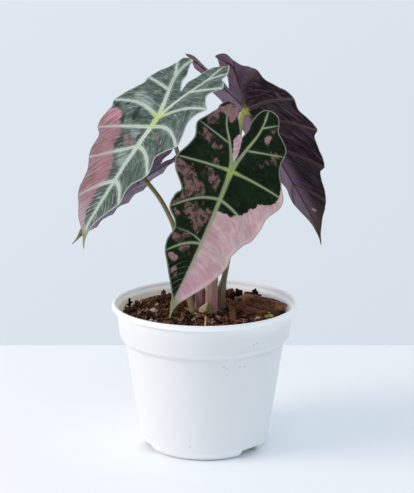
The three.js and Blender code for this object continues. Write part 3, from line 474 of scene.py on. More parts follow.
def make_mesh(name, points, faces, materials, attributes=None, face_slots=None, smooth=True):
    """A mesh object from millimetre points, with float or vector attributes on its points."""
    mesh = bpy.data.meshes.new(name)
    mesh.from_pydata((np.asarray(points, float) * MM).tolist(), [],
                     faces.tolist() if isinstance(faces, np.ndarray) else faces)
    for material in materials:
        mesh.materials.append(material)
    if face_slots is not None:
        mesh.polygons.foreach_set("material_index", np.asarray(face_slots, np.int32))
    mesh.polygons.foreach_set("use_smooth", np.full(len(mesh.polygons), smooth))
    for key, values in (attributes or {}).items():
        values = np.asarray(values, np.float32)
        kind, field = (("FLOAT", "value"), ("FLOAT_VECTOR", "vector"))[values.ndim - 1]
        mesh.attributes.new(key, kind, "POINT").data.foreach_set(field, values.ravel())
    mesh.update()
    return add_object(name, mesh)


def add_object(name, data):
    thing = bpy.data.objects.new(name, data)
    bpy.context.scene.collection.objects.link(thing)
    return thing


def grid_faces(ids, closed=False, turned=False):
    """Quads in a grid of point numbers, which closed joins round each row's ends."""
    if closed:
        ids = np.concatenate([ids, ids[..., :1]], -1)
    near, far = ids[..., :-1, :], ids[..., 1:, :]
    quads = np.stack([near[..., :-1], near[..., 1:], far[..., 1:], far[..., :-1]], -1)
    return quads.reshape(-1, 4)[:, [0, 3, 2, 1] if turned else [0, 1, 2, 3]]


def lathe_faces(rings, sides, turned=False):
    """Faces of a turned body whose points are one end, each ring in turn and the other end."""
    ids = 1 + np.arange(rings * sides).reshape(rings, sides)
    first, last = ids[0].tolist(), ids[-1].tolist()
    fans = [(0, b, a) for a, b in zip(first, first[1:] + first[:1])]
    fans += [(rings * sides + 1, a, b) for a, b in zip(last, last[1:] + last[:1])]
    if turned:
        fans = [fan[::-1] for fan in fans]
    return grid_faces(ids, True, turned).tolist() + fans


def directions(count):
    """Angles evenly round a full turn."""
    return 2 * math.pi * np.arange(count) / count


def ring(radius, height, turns):
    """Points round the pot's axis, from the front towards +X."""
    return [(radius * math.sin(turn), -radius * math.cos(turn), height) for turn in turns]


def add_piece(thing, slot, *nodes):
    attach(thing, "root")
    if nodes:
        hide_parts(*nodes)
    return thing


def leaf_axes(leaf):
    """Unit directions of a leaf: across to its right, along to its tip, up from its face."""
    h, d, r = (math.radians(leaf[key]) for key in ("heading", "dip", "roll"))
    along = np.array([math.cos(d) * math.cos(h), math.cos(d) * math.sin(h), -math.sin(d)])
    level = np.array([math.sin(d) * math.cos(h), math.sin(d) * math.sin(h), math.cos(d)])
    up = level * math.cos(r) + np.cross(along, level) * math.sin(r)
    return np.cross(along, up), along, up


def place_in_leaf(leaf, x, y, lift):
    """Bends the flat pattern: folded along the midrib, drooping to the tip and the lobes."""
    across, along, up = leaf_axes(leaf)
    share = 0.5 + 0.5 * x / np.sqrt(x * x + LOBE_BLEND ** 2)
    droop_right, droop_left = leaf["lobe_droop"]
    curve = np.where(y >= 0, leaf["droop"], droop_left + (droop_right - droop_left) * share)
    angle = curve * y
    forward, down = np.sin(angle) / curve, (1 - np.cos(angle)) / curve
    reach = np.sqrt(x * x + FOLD_BLEND ** 2) - FOLD_BLEND
    fold = np.radians(np.where(x > 0, *leaf["fold"]))
    sideways = (x - np.sign(x) * (1 - np.cos(fold)) * reach + leaf["sweep"] * np.maximum(y, 0) ** 2
                + leaf["hook"] * np.maximum(y - HOOK_START, 0) ** 2)
    height = reach * np.sin(fold) - 0.5 * leaf["arch"] * x * x + lift
    return (np.array(leaf["joint"], float) + sideways[:, None] * across
            + (forward + np.sin(angle) * height)[:, None] * along
            + (np.cos(angle) * height - down)[:, None] * up)


def outline_point(points, place):
    """A place on the smooth curve through an outline's points, counted in points."""
    i = min(int(place), len(points) - 2)
    f = place - i
    p = [np.array(points[max(0, min(len(points) - 1, k))][:2], float) for k in range(i - 1, i + 3)]
    return 0.5 * (2 * p[1] + (p[2] - p[0]) * f + (2 * p[0] - 5 * p[1] + 4 * p[2] - p[3]) * f ** 2
                  + (3 * p[1] - p[0] - 3 * p[2] + p[3]) * f ** 3)


def curve_between(start, turn, end, f):
    """A place on the arc from start to end that is pulled towards turn."""
    return (1 - f) ** 2 * start + 2 * f * (1 - f) * turn + f * f * end


def knots(leaf, half):
    """The outline's points that end a span, after one for the end of the cleft."""
    return [(0, 0, 0), *[p for p in leaf[half] if len(p) > 2]]


def root_point(leaf, half, root):
    """A place on the rib skeleton: the midrib, or the lobe's rib, which turns to its tip."""
    if root > 0:
        return np.array([0.0, root])
    spread = leaf["lobe_spread"][half == "left"]
    s, lobe = -root, -min(leaf["roots"])
    bend = min(s, 0.6 * lobe)
    start = np.array([spread * bend * (0.7 + 0.3 * bend / LOBE_CURL), -0.95 * bend])
    if s <= bend:
        return start
    tip = np.array(knots(leaf, half)[leaf["roots"].index(-lobe)][:2], float)
    turn = start + np.array([spread * (0.7 + 0.6 * bend / LOBE_CURL), -0.95]) * 0.2 * lobe
    end = tip + (turn - tip) / np.linalg.norm(turn - tip) * RIB_END
    return curve_between(start, turn, end, (s - bend) / (lobe - bend))


def smooth(value, low, high):
    f = np.clip((value - low) / (high - low), 0, 1)
    return f * f * (3 - 2 * f)


def vein_bow(leaf, half, root):
    """How far the side vein at a root sags from straight, as a share of its length."""
    known = [(r, p[3]) for r, p in zip(leaf["roots"], knots(leaf, half)) if len(p) > 3]
    roots, bows = zip(*(known or [(0, VEIN_BOW)]))
    return float(np.interp(root, roots, bows) * smooth(root, -14, 0))


def span_steps(r0, r1, density):
    even = min(6, round(abs(r1 - r0) / 4.6))
    return density * max(even, 4 if r0 >= 0 and r1 > 0 else 2)


def eased(even):
    """Even steps from 0 to 1 drawn together towards both ends."""
    return even - 0.5 * np.sin(2 * math.pi * even) / (2 * math.pi)


def half_columns(leaf, half, density):
    """The columns of one half from the seam behind the joint, round the lobe, to the tip.

    Each has its root, its place on the edge, the edge's wave, the bulge between veins, the
    place of its root on the ribs and its bow. The half's side veins follow, with sizes.
    """
    length, cleft, roots = leaf["roots"][-1], leaf["cleft"], leaf["roots"]
    outline = [(0, -cleft, 0), *leaf[half], (0, length, 0)]
    ends = [i for i, p in enumerate(outline) if len(p) > 2]
    seam = np.linspace(0, 1, span_steps(0, roots[0], density) + 1)
    columns = [(*root_point(leaf, half, roots[0] * f), 0, -cleft * f, 0, 0, roots[0] * f, 0)
               for f in seam]
    for span, (r0, r1) in enumerate(zip(roots, roots[1:])):
        last = r1 >= length
        for f in eased(np.linspace(0, 1, span_steps(r0, r1, density) + 1)[1:]):
            edge = outline_point(outline, ends[span] + f * (ends[span + 1] - ends[span]))
            swell, root = math.sin(math.pi * f) ** 2, r0 + (r1 - r0) * f
            columns.append((*root_point(leaf, half, root), *edge,
                            (swell - 0.35) * (1 - f if last else 1), 0 if last else swell, root,
                            vein_bow(leaf, half, root)))
    veins = []
    for root, end in zip(roots, ends):
        if outline[end][2]:
            start, edge = root_point(leaf, half, root), np.array(outline[end][:2], float)
            t = np.linspace(0, 1, 25)[:, None]
            path = start + (edge - start) * t
            path[:, 1:] -= (vein_bow(leaf, half, root) * np.linalg.norm(edge - start)
                            * np.sin(np.pi * t))
            veins.append((path, outline[end][2]))
    return np.array(columns), veins


def path_distance(points, path):
    """Distance of each point to a path, and how far along it, from 0 to 1."""
    best, place = np.full(len(points), 1e9), np.zeros(len(points))
    for i, (a, b) in enumerate(zip(path[:-1], path[1:])):
        step = b - a
        f = np.clip(((points - a) @ step) / max(step @ step, 1e-9), 0, 1)
        d = np.linalg.norm(points - a - f[:, None] * step, axis=1)
        nearer = d < best
        best[nearer] = d[nearer]
        place[nearer] = (i + f[nearer]) / (len(path) - 1)
    return best, place


def patch_depth(points, patches):
    """How far each point is inside the nearest patch, negative outside."""
    depth = np.full(len(points), -20.0)
    for patch in patches:
        loop = np.array([*patch, patch[0]], float)
        distance, _ = path_distance(points, loop)
        inside = np.zeros(len(points), bool)
        for (x0, y0), (x1, y1) in zip(loop[:-1], loop[1:]):
            if y0 != y1:
                crosses = (y0 > points[:, 1]) != (y1 > points[:, 1])
                inside ^= crosses & (points[:, 0] < x0 + (points[:, 1] - y0) * (x1 - x0) / (y1 - y0))
        depth = np.maximum(depth, np.where(inside, distance, -distance))
    return np.clip(depth, -20, 20)


def nearest_line(flat, lines):
    """For each point, how far off the nearest line is and that line's half width there.

    A line has its path, its side of the leaf, its half width at both ends and how fast that
    shrinks.
    """
    gap, half_width = np.full(len(flat), FAR), np.ones(len(flat))
    for path, mirror, wide, thin, power in lines:
        distance, place = path_distance(flat, path)
        distance = np.where(flat[:, 0] * mirror < -2, distance + 20, distance)
        width = wide + (thin - wide) * place ** power
        closer = distance - width < gap - half_width
        gap[closer], half_width[closer] = distance[closer], width[closer]
    return gap, half_width


def ridge(distance, width):
    return np.exp(-(distance / width) ** 2)


def flat_pattern(leaf, density, row_count):
    """A blade's points and triangles in the flat, with its ribs and its side veins.

    Each point has its x and y, its lift by waves and bulges, how thick the rib there is, how
    far it is from its root and the root's place on the ribs.
    """
    length, lobe = leaf["roots"][-1], -min(leaf["roots"])
    t = eased(np.linspace(0, 1, row_count))
    fields, quads, offset = [], [], 0
    ribs, veins = [(np.array([(0.0, 0.0), (0.0, length)]), 0, *MIDRIB)], []
    for half, mirror in (("right", 1), ("left", -1)):
        columns, half_veins = half_columns(leaf, half, density)
        root, edge = columns[:, 0:2], columns[:, 2:4]
        wave, bulge, r, sag = (columns[:, k:k + 1] for k in (4, 5, 6, 7))
        reach = edge - root
        span = np.linalg.norm(reach, axis=1)[:, None]
        x = mirror * (root[:, :1] + reach[:, :1] * t)
        y = root[:, 1:] + reach[:, 1:] * t - sag * span * np.sin(np.pi * t)
        lift = leaf["size"] * (MARGIN_WAVE * wave * t ** 2
                               + BULGE * np.minimum(1, span / 30) * bulge * np.sin(np.pi * t))
        taper = np.where(r > 0, 1 - r / length, 1 - 0.6 * np.maximum(-r, 0) / lobe)
        field = [x, y, lift, taper + 0 * t, mirror * span * t, r + 0 * t]
        fields.append(np.stack(field, -1).reshape(-1, len(field)))
        quad = grid_faces(offset + np.arange(x.size).reshape(x.shape))
        quads.append(quad if mirror > 0 else quad[:, ::-1])
        offset += x.size
        path = np.array([root_point(leaf, half, -s) for s in np.linspace(0, lobe, 20)])
        ribs.append((path * (mirror, 1), 0, *LOBE_RIB))
        for path, size in half_veins + leaf.get("fine_veins", {}).get(half, []):
            wide = 0.4 + 0.6 * size
            veins.append((np.array(path) * (mirror, 1), mirror, wide, 0.45 * wide, 1.0))

    # Points that coincide in the pattern become one
    fields = np.concatenate(fields)
    _, first, named = np.unique(np.round(fields[:, :2] * 500 + 0.013).astype(int), axis=0,
                                return_index=True, return_inverse=True)
    quads = named.ravel()[np.concatenate(quads)]
    faces = np.concatenate([quads[:, [0, 1, 2]], quads[:, [0, 2, 3]]])
    return fields[first], faces[(faces != np.roll(faces, 1, axis=1)).all(1)], ribs, veins


def blade(name, density, row_count):
    """Points, faces and shading attributes of one waved blade with both its faces."""
    leaf = LEAVES[name]
    scale = leaf["size"]
    fields, faces, ribs, veins = flat_pattern(leaf, density, row_count)
    flat, (lift, taper, run, root), count = fields[:, :2], fields[:, 2:].T, len(fields)
    edges = np.concatenate([faces[:, [0, 1]], faces[:, [1, 2]], faces[:, [2, 0]]])
    border = edges[~np.isin(edges @ (count, 1), edges @ (1, count))]

    # Distances to the ribs, the side veins and the edge
    rib, rib_width = nearest_line(flat, ribs)
    side, side_width = nearest_line(flat, veins)
    rim = flat[np.unique(border)]
    margin = np.full(count, FAR)
    for start in range(0, len(rim), 64):
        away = np.linalg.norm(flat[:, None] - rim[None, start:start + 64], axis=2)
        margin = np.minimum(margin, away.min(1))
    rib_gap, side_gap = rib - rib_width, side - side_width
    line, vein = np.minimum(rib, side), np.minimum(rib_gap, side_gap)
    # The finest veins leave a rib beside the side veins and curve on towards the tip
    strand = root - FINE_SWEEP * run ** 2

    # Form: ribs and side veins stand out below and a little above, and the finest veins
    # pull the surface between them down
    quilt = (np.cos(2 * np.pi * strand / FINE_SPACING) * np.clip((vein - 0.5) / 3, 0, 1)
             * np.clip(margin / 4, 0, 1))
    grain = (0.22 * np.sin(0.35 * flat[:, 0] + 1.3 * np.sin(0.11 * flat[:, 1]))
             * np.sin(0.27 * flat[:, 1] + 0.9) * np.clip(line / 6, 0, 1))
    upper_ridge = (0.34 * taper * ridge(rib, rib_width * 1.1)
                   + 0.16 * ridge(side, side_width * 1.1) - 0.16 * ridge(line, 0.3))
    lift = lift + scale * (grain - 0.06 * quilt + upper_ridge)
    top = place_in_leaf(leaf, flat[:, 0] * scale, flat[:, 1] * scale, lift)
    normals = np.zeros_like(top)
    cross = np.cross(top[faces[:, 1]] - top[faces[:, 0]], top[faces[:, 2]] - top[faces[:, 0]])
    for k in range(3):
        np.add.at(normals, faces[:, k], cross)
    normals /= np.linalg.norm(normals, axis=1)[:, None]
    fade = np.clip(margin / 3, 0, 1)
    thick = (BLADE_THICKNESS - 0.35 * (1 - fade) ** 2 + RIB_HEIGHT * taper * ridge(rib, rib_width)
             + VEIN_HEIGHT * (0.3 + 0.7 * fade) * ridge(side, side_width) - 0.04 * quilt)
    points = np.concatenate([top, top - normals * thick[:, None]])
    walls = np.concatenate([border[:, [1, 0, 0]] + [0, 0, count],
                            border[:, [1, 0, 1]] + [0, count, count]])
    slots = np.repeat([0, 1], [len(faces) + len(walls), len(faces)])
    attributes = {
        "flat": np.column_stack([flat, np.zeros(count)]),
        "weave": np.column_stack([run, strand, np.zeros(count)]),
        "rib": np.clip(rib_gap, -3, 15), "side": np.clip(side_gap, -3, 15),
        "line": np.clip(line, 0, 15), "margin": np.clip(margin, 0, 30),
        **{kind: patch_depth(flat, PATCHES.get((kind, name), []))
           for kind in ("pink", "mottle", "shadow", "painted_sheen_patch")}}
    attributes = {key: np.concatenate([values, values]) for key, values in attributes.items()}
    return points, np.concatenate([faces, walls, faces[:, ::-1] + count]), attributes, slots


class BladeShade(Shade):
    """A blade's material, with the measures that its patterns are drawn from."""

    def __init__(self, name, look):
        super().__init__(name, roughness=look.roughness, specular=look.specular)
        self.flat, self.weave = (self.attribute(key, "Vector") for key in ("flat", "weave"))
        self.rib, self.side, self.line, self.margin = map(
            self.attribute, ("rib", "side", "line", "margin"))
        self.across, self.along = self.axis(self.flat, "X"), self.axis(self.flat, "Y")
        self.joint = self.node("VectorMath", {0: self.flat}, "Value", operation="LENGTH")
        self.vein = self.rib.least(self.side)

    def fine_lines(self, jitter, width):
        """A mask of the finest veins: 1 on a line, 0 between lines."""
        wobble = self.noise(self.flat, 0.12, 2, 0.5)
        place = self.axis(self.weave, "Y") * (1 / FINE_SPACING) + wobble.swing(jitter)
        return abs(self.math("FRACT", place) - 0.5).step(0.5 - width, 0.5)


def upper_face(name, look):
    """A leaf's upper face: marbled green with pale veins, and pink where it is variegated."""
    look = SimpleNamespace(**look)
    s = BladeShade(name, look)
    flat, weave, along, margin = s.flat, s.weave, s.along, s.margin
    broad = s.noise(flat, 0.07, 3, 0.55)
    patchy = s.noise(flat, 0.13, 3, 0.6, 0, (1, 1, 1), 0.8)
    fine = s.noise(flat, 0.5, 4, 0.65)
    tiny = s.noise(flat, 2, 3, 0.7)
    # Clouds of painted sheen, a painted reflection on the glossy face
    bloom = s.noise(flat, 0.16, 4, 0.6, 0.6, (1, 0.8, 1), 2.1)
    holes = s.noise(flat, 0.3, 5, 0.7, 0, (1, 0.8, 1), 0.5)
    strand = s.noise(weave, 1, 3, 0.55, 0, (0.1, 0.42, 1))
    hair = s.noise(weave, 1, 2, 0.5, 0, (0.16, 1.5, 1))
    silk = s.noise(weave, 1, 2, 0.5, 0, (0.07, 0.9, 1))
    lines = s.fine_lines(look.line_jitter, look.line_width)

    # Green ground: broad clouds, streaks along the finest veins, clouds and grey patches of painted
    # sheen, and dark strokes
    hairs = hair.step(0.53, 0.7) * (0.25 + patchy.step(0.45, 0.68)) * look.hairs
    tip = along.step(look.line_start, look.line_start + 14)
    # Grey patches of painted sheen, in the sheen colour
    painted_sheen_patch = s.attribute("painted_sheen_patch") + fine.swing(9)
    shadow = s.attribute("shadow") + hair.swing(2)
    green = s.layers(
        look.dark, (broad.step(0.35, 0.66), look.mid),
        (strand.step(0.45, 0.72, 0, look.streaks), look.light),
        (strand.step(0.47, 0.3, 0, look.shades), look.deep),
        (fine.step(0.5, 0.8, 0, 0.35), look.dark),
        # clouds of painted sheen
        (bloom.step(0.53, 0.72) * look.bloom, look.bloom_color), (hairs, look.vein),
        (lines * patchy.step(0.3, 0.6, 0.3, 1) * (look.lines + tip * look.tip_lines), look.vein),
        (painted_sheen_patch.step(-1.5, 2.5) * strand.step(0.35, 0.6, 0.2, 0.7), look.bloom_color),
        (shadow.step(-0.8, 0.3, 0, 0.85), (10, 24, 14)))

    # Pink patches with ragged edges, and mottled ones where green shows through
    rag = fine.swing(look.rag) + (tiny.swing(look.rag * 0.6) + hair.swing(look.rag * 0.7))
    pink_share = (s.attribute("pink") + rag).step(-0.2, 0.25)
    mottle = s.attribute("mottle")
    specks = mottle.step(-4.5, -1) * holes.step(0.56, 0.62) * 0.5
    mottle_share = (mottle + rag * 1.6).step(-0.5, 0.7) * look.mottling
    dusky = s.layers(look.dusk_dark, (holes.step(look.holes, look.holes + 0.1), look.dusk))
    tongue = s.across.step(5.2, 4.4) * s.across.step(-2.5, -1.5) * abs(along + 15).step(14, 12.5)
    small = s.across.step(0.5, 2.5).most(along.step(-6, -9)) * (1 - tongue)
    worn_pink = s.layers(look.dusk_pink, (fine.step(0.42, 0.62) * 0.7, look.dusk))
    pink = s.layers(
        look.pink, (broad.step(0.3, 0.7), look.pink_light),
        (strand.step(0.42, 0.72, 0, 0.5), look.pink_dark),
        (patchy.step(0.46, 0.66, 0, 0.55), look.pink_dark),
        (along.step(*look.flush) * silk.step(0.3, 0.7, 0.4, 1), look.pink_flush),
        (along.step(*look.blanch) * silk.step(0.3, 0.7, 0.3, 0.9), look.pink_blanch),
        (lines * patchy.step(0.3, 0.6, 0.4, 1) * look.pink_lines, look.pink_vein),
        (silk.step(0.52, 0.72, 0, look.pink_hairs), look.pink_vein),
        (margin.step(3.5, 0.8, 0, look.pale_edge), look.pink_vein),
        (margin.step(4.5, 9.5) * silk.step(0.35, 0.65, 0.4, 1) * look.pink_glow, look.pink_flush),
        (small * look.small_dusk, worn_pink))
    gone = small * look.small_worn * holes.step(look.holes + 0.1, look.holes - 0.08)

    # Side veins and ribs, feathered into the blade
    on_pink = 1 - pink_share * (1 - look.vein_on_pink)
    rib_on_pink = 1 - pink_share * (1 - look.rib_on_pink)
    ends = margin.step(0.3, 4, look.vein_end, 1)
    wide = s.vein + (hair.swing(look.fray) + tiny.swing(look.crumble))
    core = s.line.step(0.8, 0.25) * s.vein.step(0, -0.5) * ends * look.core_strength * on_pink
    s.set(color=s.layers(
        green, (mottle_share.most(specks * look.mottling), dusky), (pink_share * (1 - gone), pink),
        (wide.step(look.halo, -0.5) * look.halo_strength * ends * on_pink, look.feather),
        (s.side.step(0.35, -0.35) * ends * on_pink * look.vein_strength,
         s.layers(look.vein, (pink_share * look.vein_blush, look.pink_vein))),
        (s.rib.step(0.3, -0.35) * look.vein_strength * rib_on_pink,
         s.layers(look.rib, (along.step(40, 75), look.rib_tip))),
        (core, look.core),
        (s.joint.step(look.heart_reach, 1) * s.vein.step(0.9, -0.4), look.heart),
        (margin.step(look.edge_width, look.edge_width * 0.4) * look.edge_strength,
         s.layers(look.edge, (pink_share, look.edge_pink))),
        (along.step(look.tip_start, look.tip_start + 6), look.tip)))
    relief = lines * -0.4 + (tiny * 0.3 + fine * 0.5) + hair * 0.4
    s.set(normal=s.bump(relief, 0.22, 0.0006),
          roughness=fine.step(0.3, 0.7, look.roughness - 0.06, look.roughness + 0.08))
    return s.material


def under_face(name, look):
    """A leaf's underside: satin purple with lighter arcs between brown ribs."""
    look = SimpleNamespace(**look)
    s = BladeShade(name, look)
    across, along, vein = s.across, s.along, s.vein
    broad = s.noise(s.flat, 0.08, 3, 0.6)
    patchy = s.noise(s.flat, 0.11, 3, 0.6, 0, (1, 1, 1), 0.8)
    fine = s.noise(s.flat, 0.8, 4, 0.6)
    strand = s.noise(s.weave, 1, 3, 0.6, 0.5, (0.07, 0.22, 1))
    hair = s.noise(s.weave, 1, 2, 0.5, 0.8, (0.1, 1, 1))
    lines = s.fine_lines(1.6, 0.09)
    # Painted sheen: the left half and the lobes are lighter violet where they face the bright left side
    pale = across.step(2, -2, 0, look.left_share).most(along.step(-10, -34, 0, look.lobe_share))
    pale = pale.most(across.step(11, 1, 0, look.lobe_share) * along.step(16, 36))
    pale = pale.most((along * 0.75 + across).step(3, -4) * along.step(-4, -10, 0, 0.8))
    color = s.layers(
        look.dark, (broad.step(0.35, 0.65), look.light), (pale, look.left),
        (strand.step(0.5, 0.72) * look.arc_strength, look.arc),
        (strand.step(0.46, 0.3, 0, 0.5), look.dark),
        (lines * patchy.step(0.35, 0.65, 0.2 * look.net, look.net), look.net_color),
        (hair.step(0.52, 0.68, 0, 0.4), look.net_color), (fine.step(0.45, 0.8, 0, 0.2), look.dark),
        ((vein + hair.swing(3)).step(1.3, -0.2, 0, 0.45), look.arc),
        (vein.step(0.35, -0.25, 0, look.vein_strength), look.vein),
        (s.line.step(0.5, 0.1, 0, 0.75) * vein.step(0, -0.4), look.core),
        (s.joint.step(look.heart_reach, 1.5) * vein.step(0.8, -0.5), look.heart),
        (s.margin.step(0.9, 0.2, 0, 0.7), look.edge),
        (along.step(look.tip_start, 92) * 0.85, look.tip),
        ((s.attribute("mottle") + (fine - 0.5)).step(-0.5, 0.5), look.spot))
    s.set(color=color, normal=s.bump(lines * 0.3 + fine * 0.6, 0.3, 0.0006),
          roughness=fine.step(0.3, 0.7, look.roughness - 0.05, look.roughness + 0.1))
    return s.material


def make_blades():
    plain = dict(FRONT_LOOK, dark=(24, 42, 30), mid=(40, 62, 46), vein=(150, 168, 140),
                 rib=(150, 168, 140), tip_lines=0.2)
    # The rear leaf's underside is a lighter copy of the purple one: painted light, brightened against
    # the shade that the left leaf casts on it
    violet = dict(UNDER_LOOK, dark=(130, 114, 136), light=(166, 150, 173), left_share=0.0,
                  lobe_share=0.0, arc=(166, 149, 174), vein=(154, 140, 156), core=(80, 62, 78),
                  vein_strength=0.7, tip=(138, 136, 112))
    dark_green = upper_face("leaf_dark_green", plain)
    mottled = under_face("leaf_underside_mottled", dict(UNDER_LOOK, spot=(132, 88, 98)))
    fine, coarse = (8, 58), (5, 36)
    for name, slot, counts, upper, under in (
            # the left leaf's upper face is partly painted sheen
            ("left", "left_blade", fine, upper_face("leaf_green_with_painted_sheen", LEFT_LOOK), mottled),
            ("front", "front_blade", fine, upper_face("leaf_dark_marbled", FRONT_LOOK), mottled),
            ("right", "blade_underside", fine, dark_green,
             under_face("leaf_underside_purple", UNDER_LOOK)),
            ("rear", "blade_underside", coarse, dark_green,
             under_face("leaf_underside_violet_painted_light", violet))):
        points, faces, attributes, slots = blade(name, *counts)
        leaf = make_mesh(f"leaf_{name}", points, faces, [upper, under], attributes, slots)
        add_piece(leaf, slot, f"{name}_blade")


def smooth_path(stations, steps):
    """Centripetal spline through the stations, sampled evenly in its own parameter."""
    p = np.array(stations, float)
    xyz = np.vstack([2 * p[0, :3] - p[1, :3], p[:, :3], 2 * p[-1, :3] - p[-2, :3]])
    out = []
    for i in range(len(p) - 1):
        q = xyz[i:i + 4]
        d = [max(np.sum((q[k + 1] - q[k]) ** 2) ** 0.25, 1e-4) for k in range(3)]
        t1 = ((q[1] - q[0]) / d[0] - (q[2] - q[0]) / (d[0] + d[1]) + (q[2] - q[1]) / d[1]) * d[1]
        t2 = ((q[2] - q[1]) / d[1] - (q[3] - q[1]) / (d[1] + d[2]) + (q[3] - q[2]) / d[2]) * d[1]
        for f in np.linspace(0, 1, steps, endpoint=False):
            point = (q[1] + t1 * f + (-3 * q[1] + 3 * q[2] - 2 * t1 - t2) * f ** 2
                     + (2 * q[1] - 2 * q[2] + t1 + t2) * f ** 3)
            out.append((*point, p[i, 3] + (p[i + 1, 3] - p[i, 3]) * f))
    return np.array([*out, p[-1]])


def sweep(path, radii, sides):
    """Rings round a path, kept from twisting. A row of radii has one for each side."""
    points, turns = [], directions(sides)
    tangents = np.gradient(path, axis=0)
    tangents /= np.linalg.norm(tangents, axis=1)[:, None]
    front = np.array([0.0, -1.0, 0.0])
    for centre, tangent, radius in zip(path, tangents, radii):
        front = front - (front @ tangent) * tangent
        front /= np.linalg.norm(front)
        side = np.cross(tangent, front)
        spokes = np.cos(turns)[:, None] * front - np.sin(turns)[:, None] * side
        points.append(centre + np.reshape(radius, (-1, 1)) * spokes)
    ids = np.arange(len(path) * sides).reshape(-1, sides)
    faces = grid_faces(ids, True, True).tolist() + [ids[0].tolist(), ids[-1, ::-1].tolist()]
    return np.concatenate(points), faces


def stalk_material(name):
    look = SimpleNamespace(**STALK_LOOKS[name])
    s = Shade(f"stalk_{name}", roughness=0.42, specular=0.5)
    height, place = s.attribute("rise"), s.local()
    stripes = s.noise(place, 700, 3, 0.6, 0, (1, 1, 0.12))
    color = s.layers(
        look.foot, (height.step(0.02, 0.16), look.low), (height.step(0.12, 0.42), look.mid),
        (height.step(0.78, 1), look.top), (stripes.step(0.45, 0.75, 0, 0.35), look.rim),
        (s.noise(place, 900, 3, 0.6).step(0.56, 0.7, 0, 0.15), (84, 70, 50)),
        (s.attribute("wing"), look.rim))
    s.set(color=color, normal=s.bump(stripes, 0.2, 0.0004))
    return s.material


def make_stalks():
    """The stalks, each with the two edges of its sheath standing out low down."""
    sides = 32
    turns = directions(sides)
    for name, stations in STALKS.items():
        leaf = LEAVES[name]
        up, joint = leaf_axes(leaf)[2], np.array(leaf["joint"], float)
        thin = stations[-1][3]
        path = smooth_path([*stations, *[(*(joint - below * up), thin) for below in (5, 2.25)]], 16)
        path = np.vstack([path, [*(joint - 1.2 * up), thin]])
        rise = np.concatenate([[0], np.cumsum(np.linalg.norm(np.diff(path[:, :3], axis=0), axis=1))])
        rise /= rise[-1]
        radii = path[:, 3] * np.where(rise > 0.985, 1.12, 1)
        gaps = np.array([(turns - edge + math.pi) % (2 * math.pi) - math.pi
                         for edge in SHEATH_EDGES[name]])
        swell = 0.16 * np.maximum(0, 1 - rise / 0.3)[:, None]
        section = 1 + swell * ridge(gaps[0], 0.22) + swell * ridge(gaps[1], 0.22)
        wing = np.maximum(0, 1 - rise / 0.35)[:, None] * ridge(abs(gaps).min(0), 0.25)
        points, faces = sweep(path[:, :3], radii[:, None] * section, sides)
        stalk = make_mesh(f"stalk_{name}", points, faces, [stalk_material(name)],
                          {"rise": np.repeat(rise, sides), "wing": wing.ravel()})
        add_piece(stalk, "petiole", f"{name}_petiole")


def make_bud_scale():
    """The pale scale leaf at the foot of the two front stalks, creased down its middle."""
    rows, across = 26, 22
    low, bend, top = 80, 91.4, 95.9
    u = np.linspace(-1, 1, across + 1)
    inner, crown = 6.9, 1.1 * (1 - 0.6 * u * u) + 0.35 * ridge(u, 0.12)
    points = []
    for radius in (inner + 0 * u, inner + crown):
        for height in np.linspace(low, top, rows):
            half = np.interp(height, (low, 89, bend, 93.6, top), (4.4, 4.8, 4.9, 2.9, 0.6))
            turn = u * half / 7.4
            points += zip(0.6 + 0.35 * max(0.0, height - bend) + radius * np.sin(turn),
                          0.3 - radius * np.cos(turn), height + 0 * u)
    back, front = np.arange(len(points)).reshape(2, rows, across + 1)
    round_it = np.hstack([front, back[:, ::-1]])
    faces = np.vstack([grid_faces(round_it, True), grid_faces(np.array([back[0], front[0]])),
                       grid_faces(np.array([front[-1], back[-1]]))])
    s = Shade("bud_scale_skin", roughness=0.5, specular=0.4)
    crease = s.attribute("crease")
    veins = s.noise(s.local(), 1200, 3, 0.6, 0, (1, 1, 0.1))
    color = s.layers((186, 164, 140), (crease.step(-0.15, 0.25), (132, 118, 62)),
                     (abs(crease).step(0.22, 0.04), (176, 166, 96)),
                     (veins.step(0.4, 0.75, 0, 0.4), (120, 96, 60)))
    s.set(color=color, normal=s.bump(veins, 0.3, 0.0004))
    scale = make_mesh("bud_scale_leaf", points, faces, [s.material],
                      {"crease": np.tile(u, 2 * rows)})
    add_piece(scale, "bud_scale", "bud_scale")


def rounded(profile, radius, steps=4):
    """The profile with each inner corner replaced by a short arc."""
    profile = np.array(profile, float)
    out = [profile[0]]
    for a, b, c in zip(profile, profile[1:], profile[2:]):
        before, after = np.linalg.norm(b - a), np.linalg.norm(c - b)
        cut = min(radius, before * 0.4, after * 0.4)
        start, end = b + (a - b) / before * cut, b + (c - b) / after * cut
        out += [curve_between(start, b, end, k / steps) for k in range(steps + 1)]
    return np.array([*out, profile[-1]])


def foot_height(radius, turn, height):
    """A point's height once the drain notches are cut through the foot ring."""
    for angle in NOTCH_ANGLES:
        gap = (math.degrees(turn) - angle + 180) % 360 - 180
        if FOOT_RING[0] < radius < FOOT_RING[1] and abs(gap) < 60:
            reach = abs(radius * math.sin(math.radians(gap)))
            top = NOTCH_HEIGHT + NOTCH_RISE * min(1.0, max(0.0, (radius - 38.6) / 2))
            height = max(height, top * min(1.0, (NOTCH_HALF_WIDTH - reach) / NOTCH_ROUNDING))
    return height


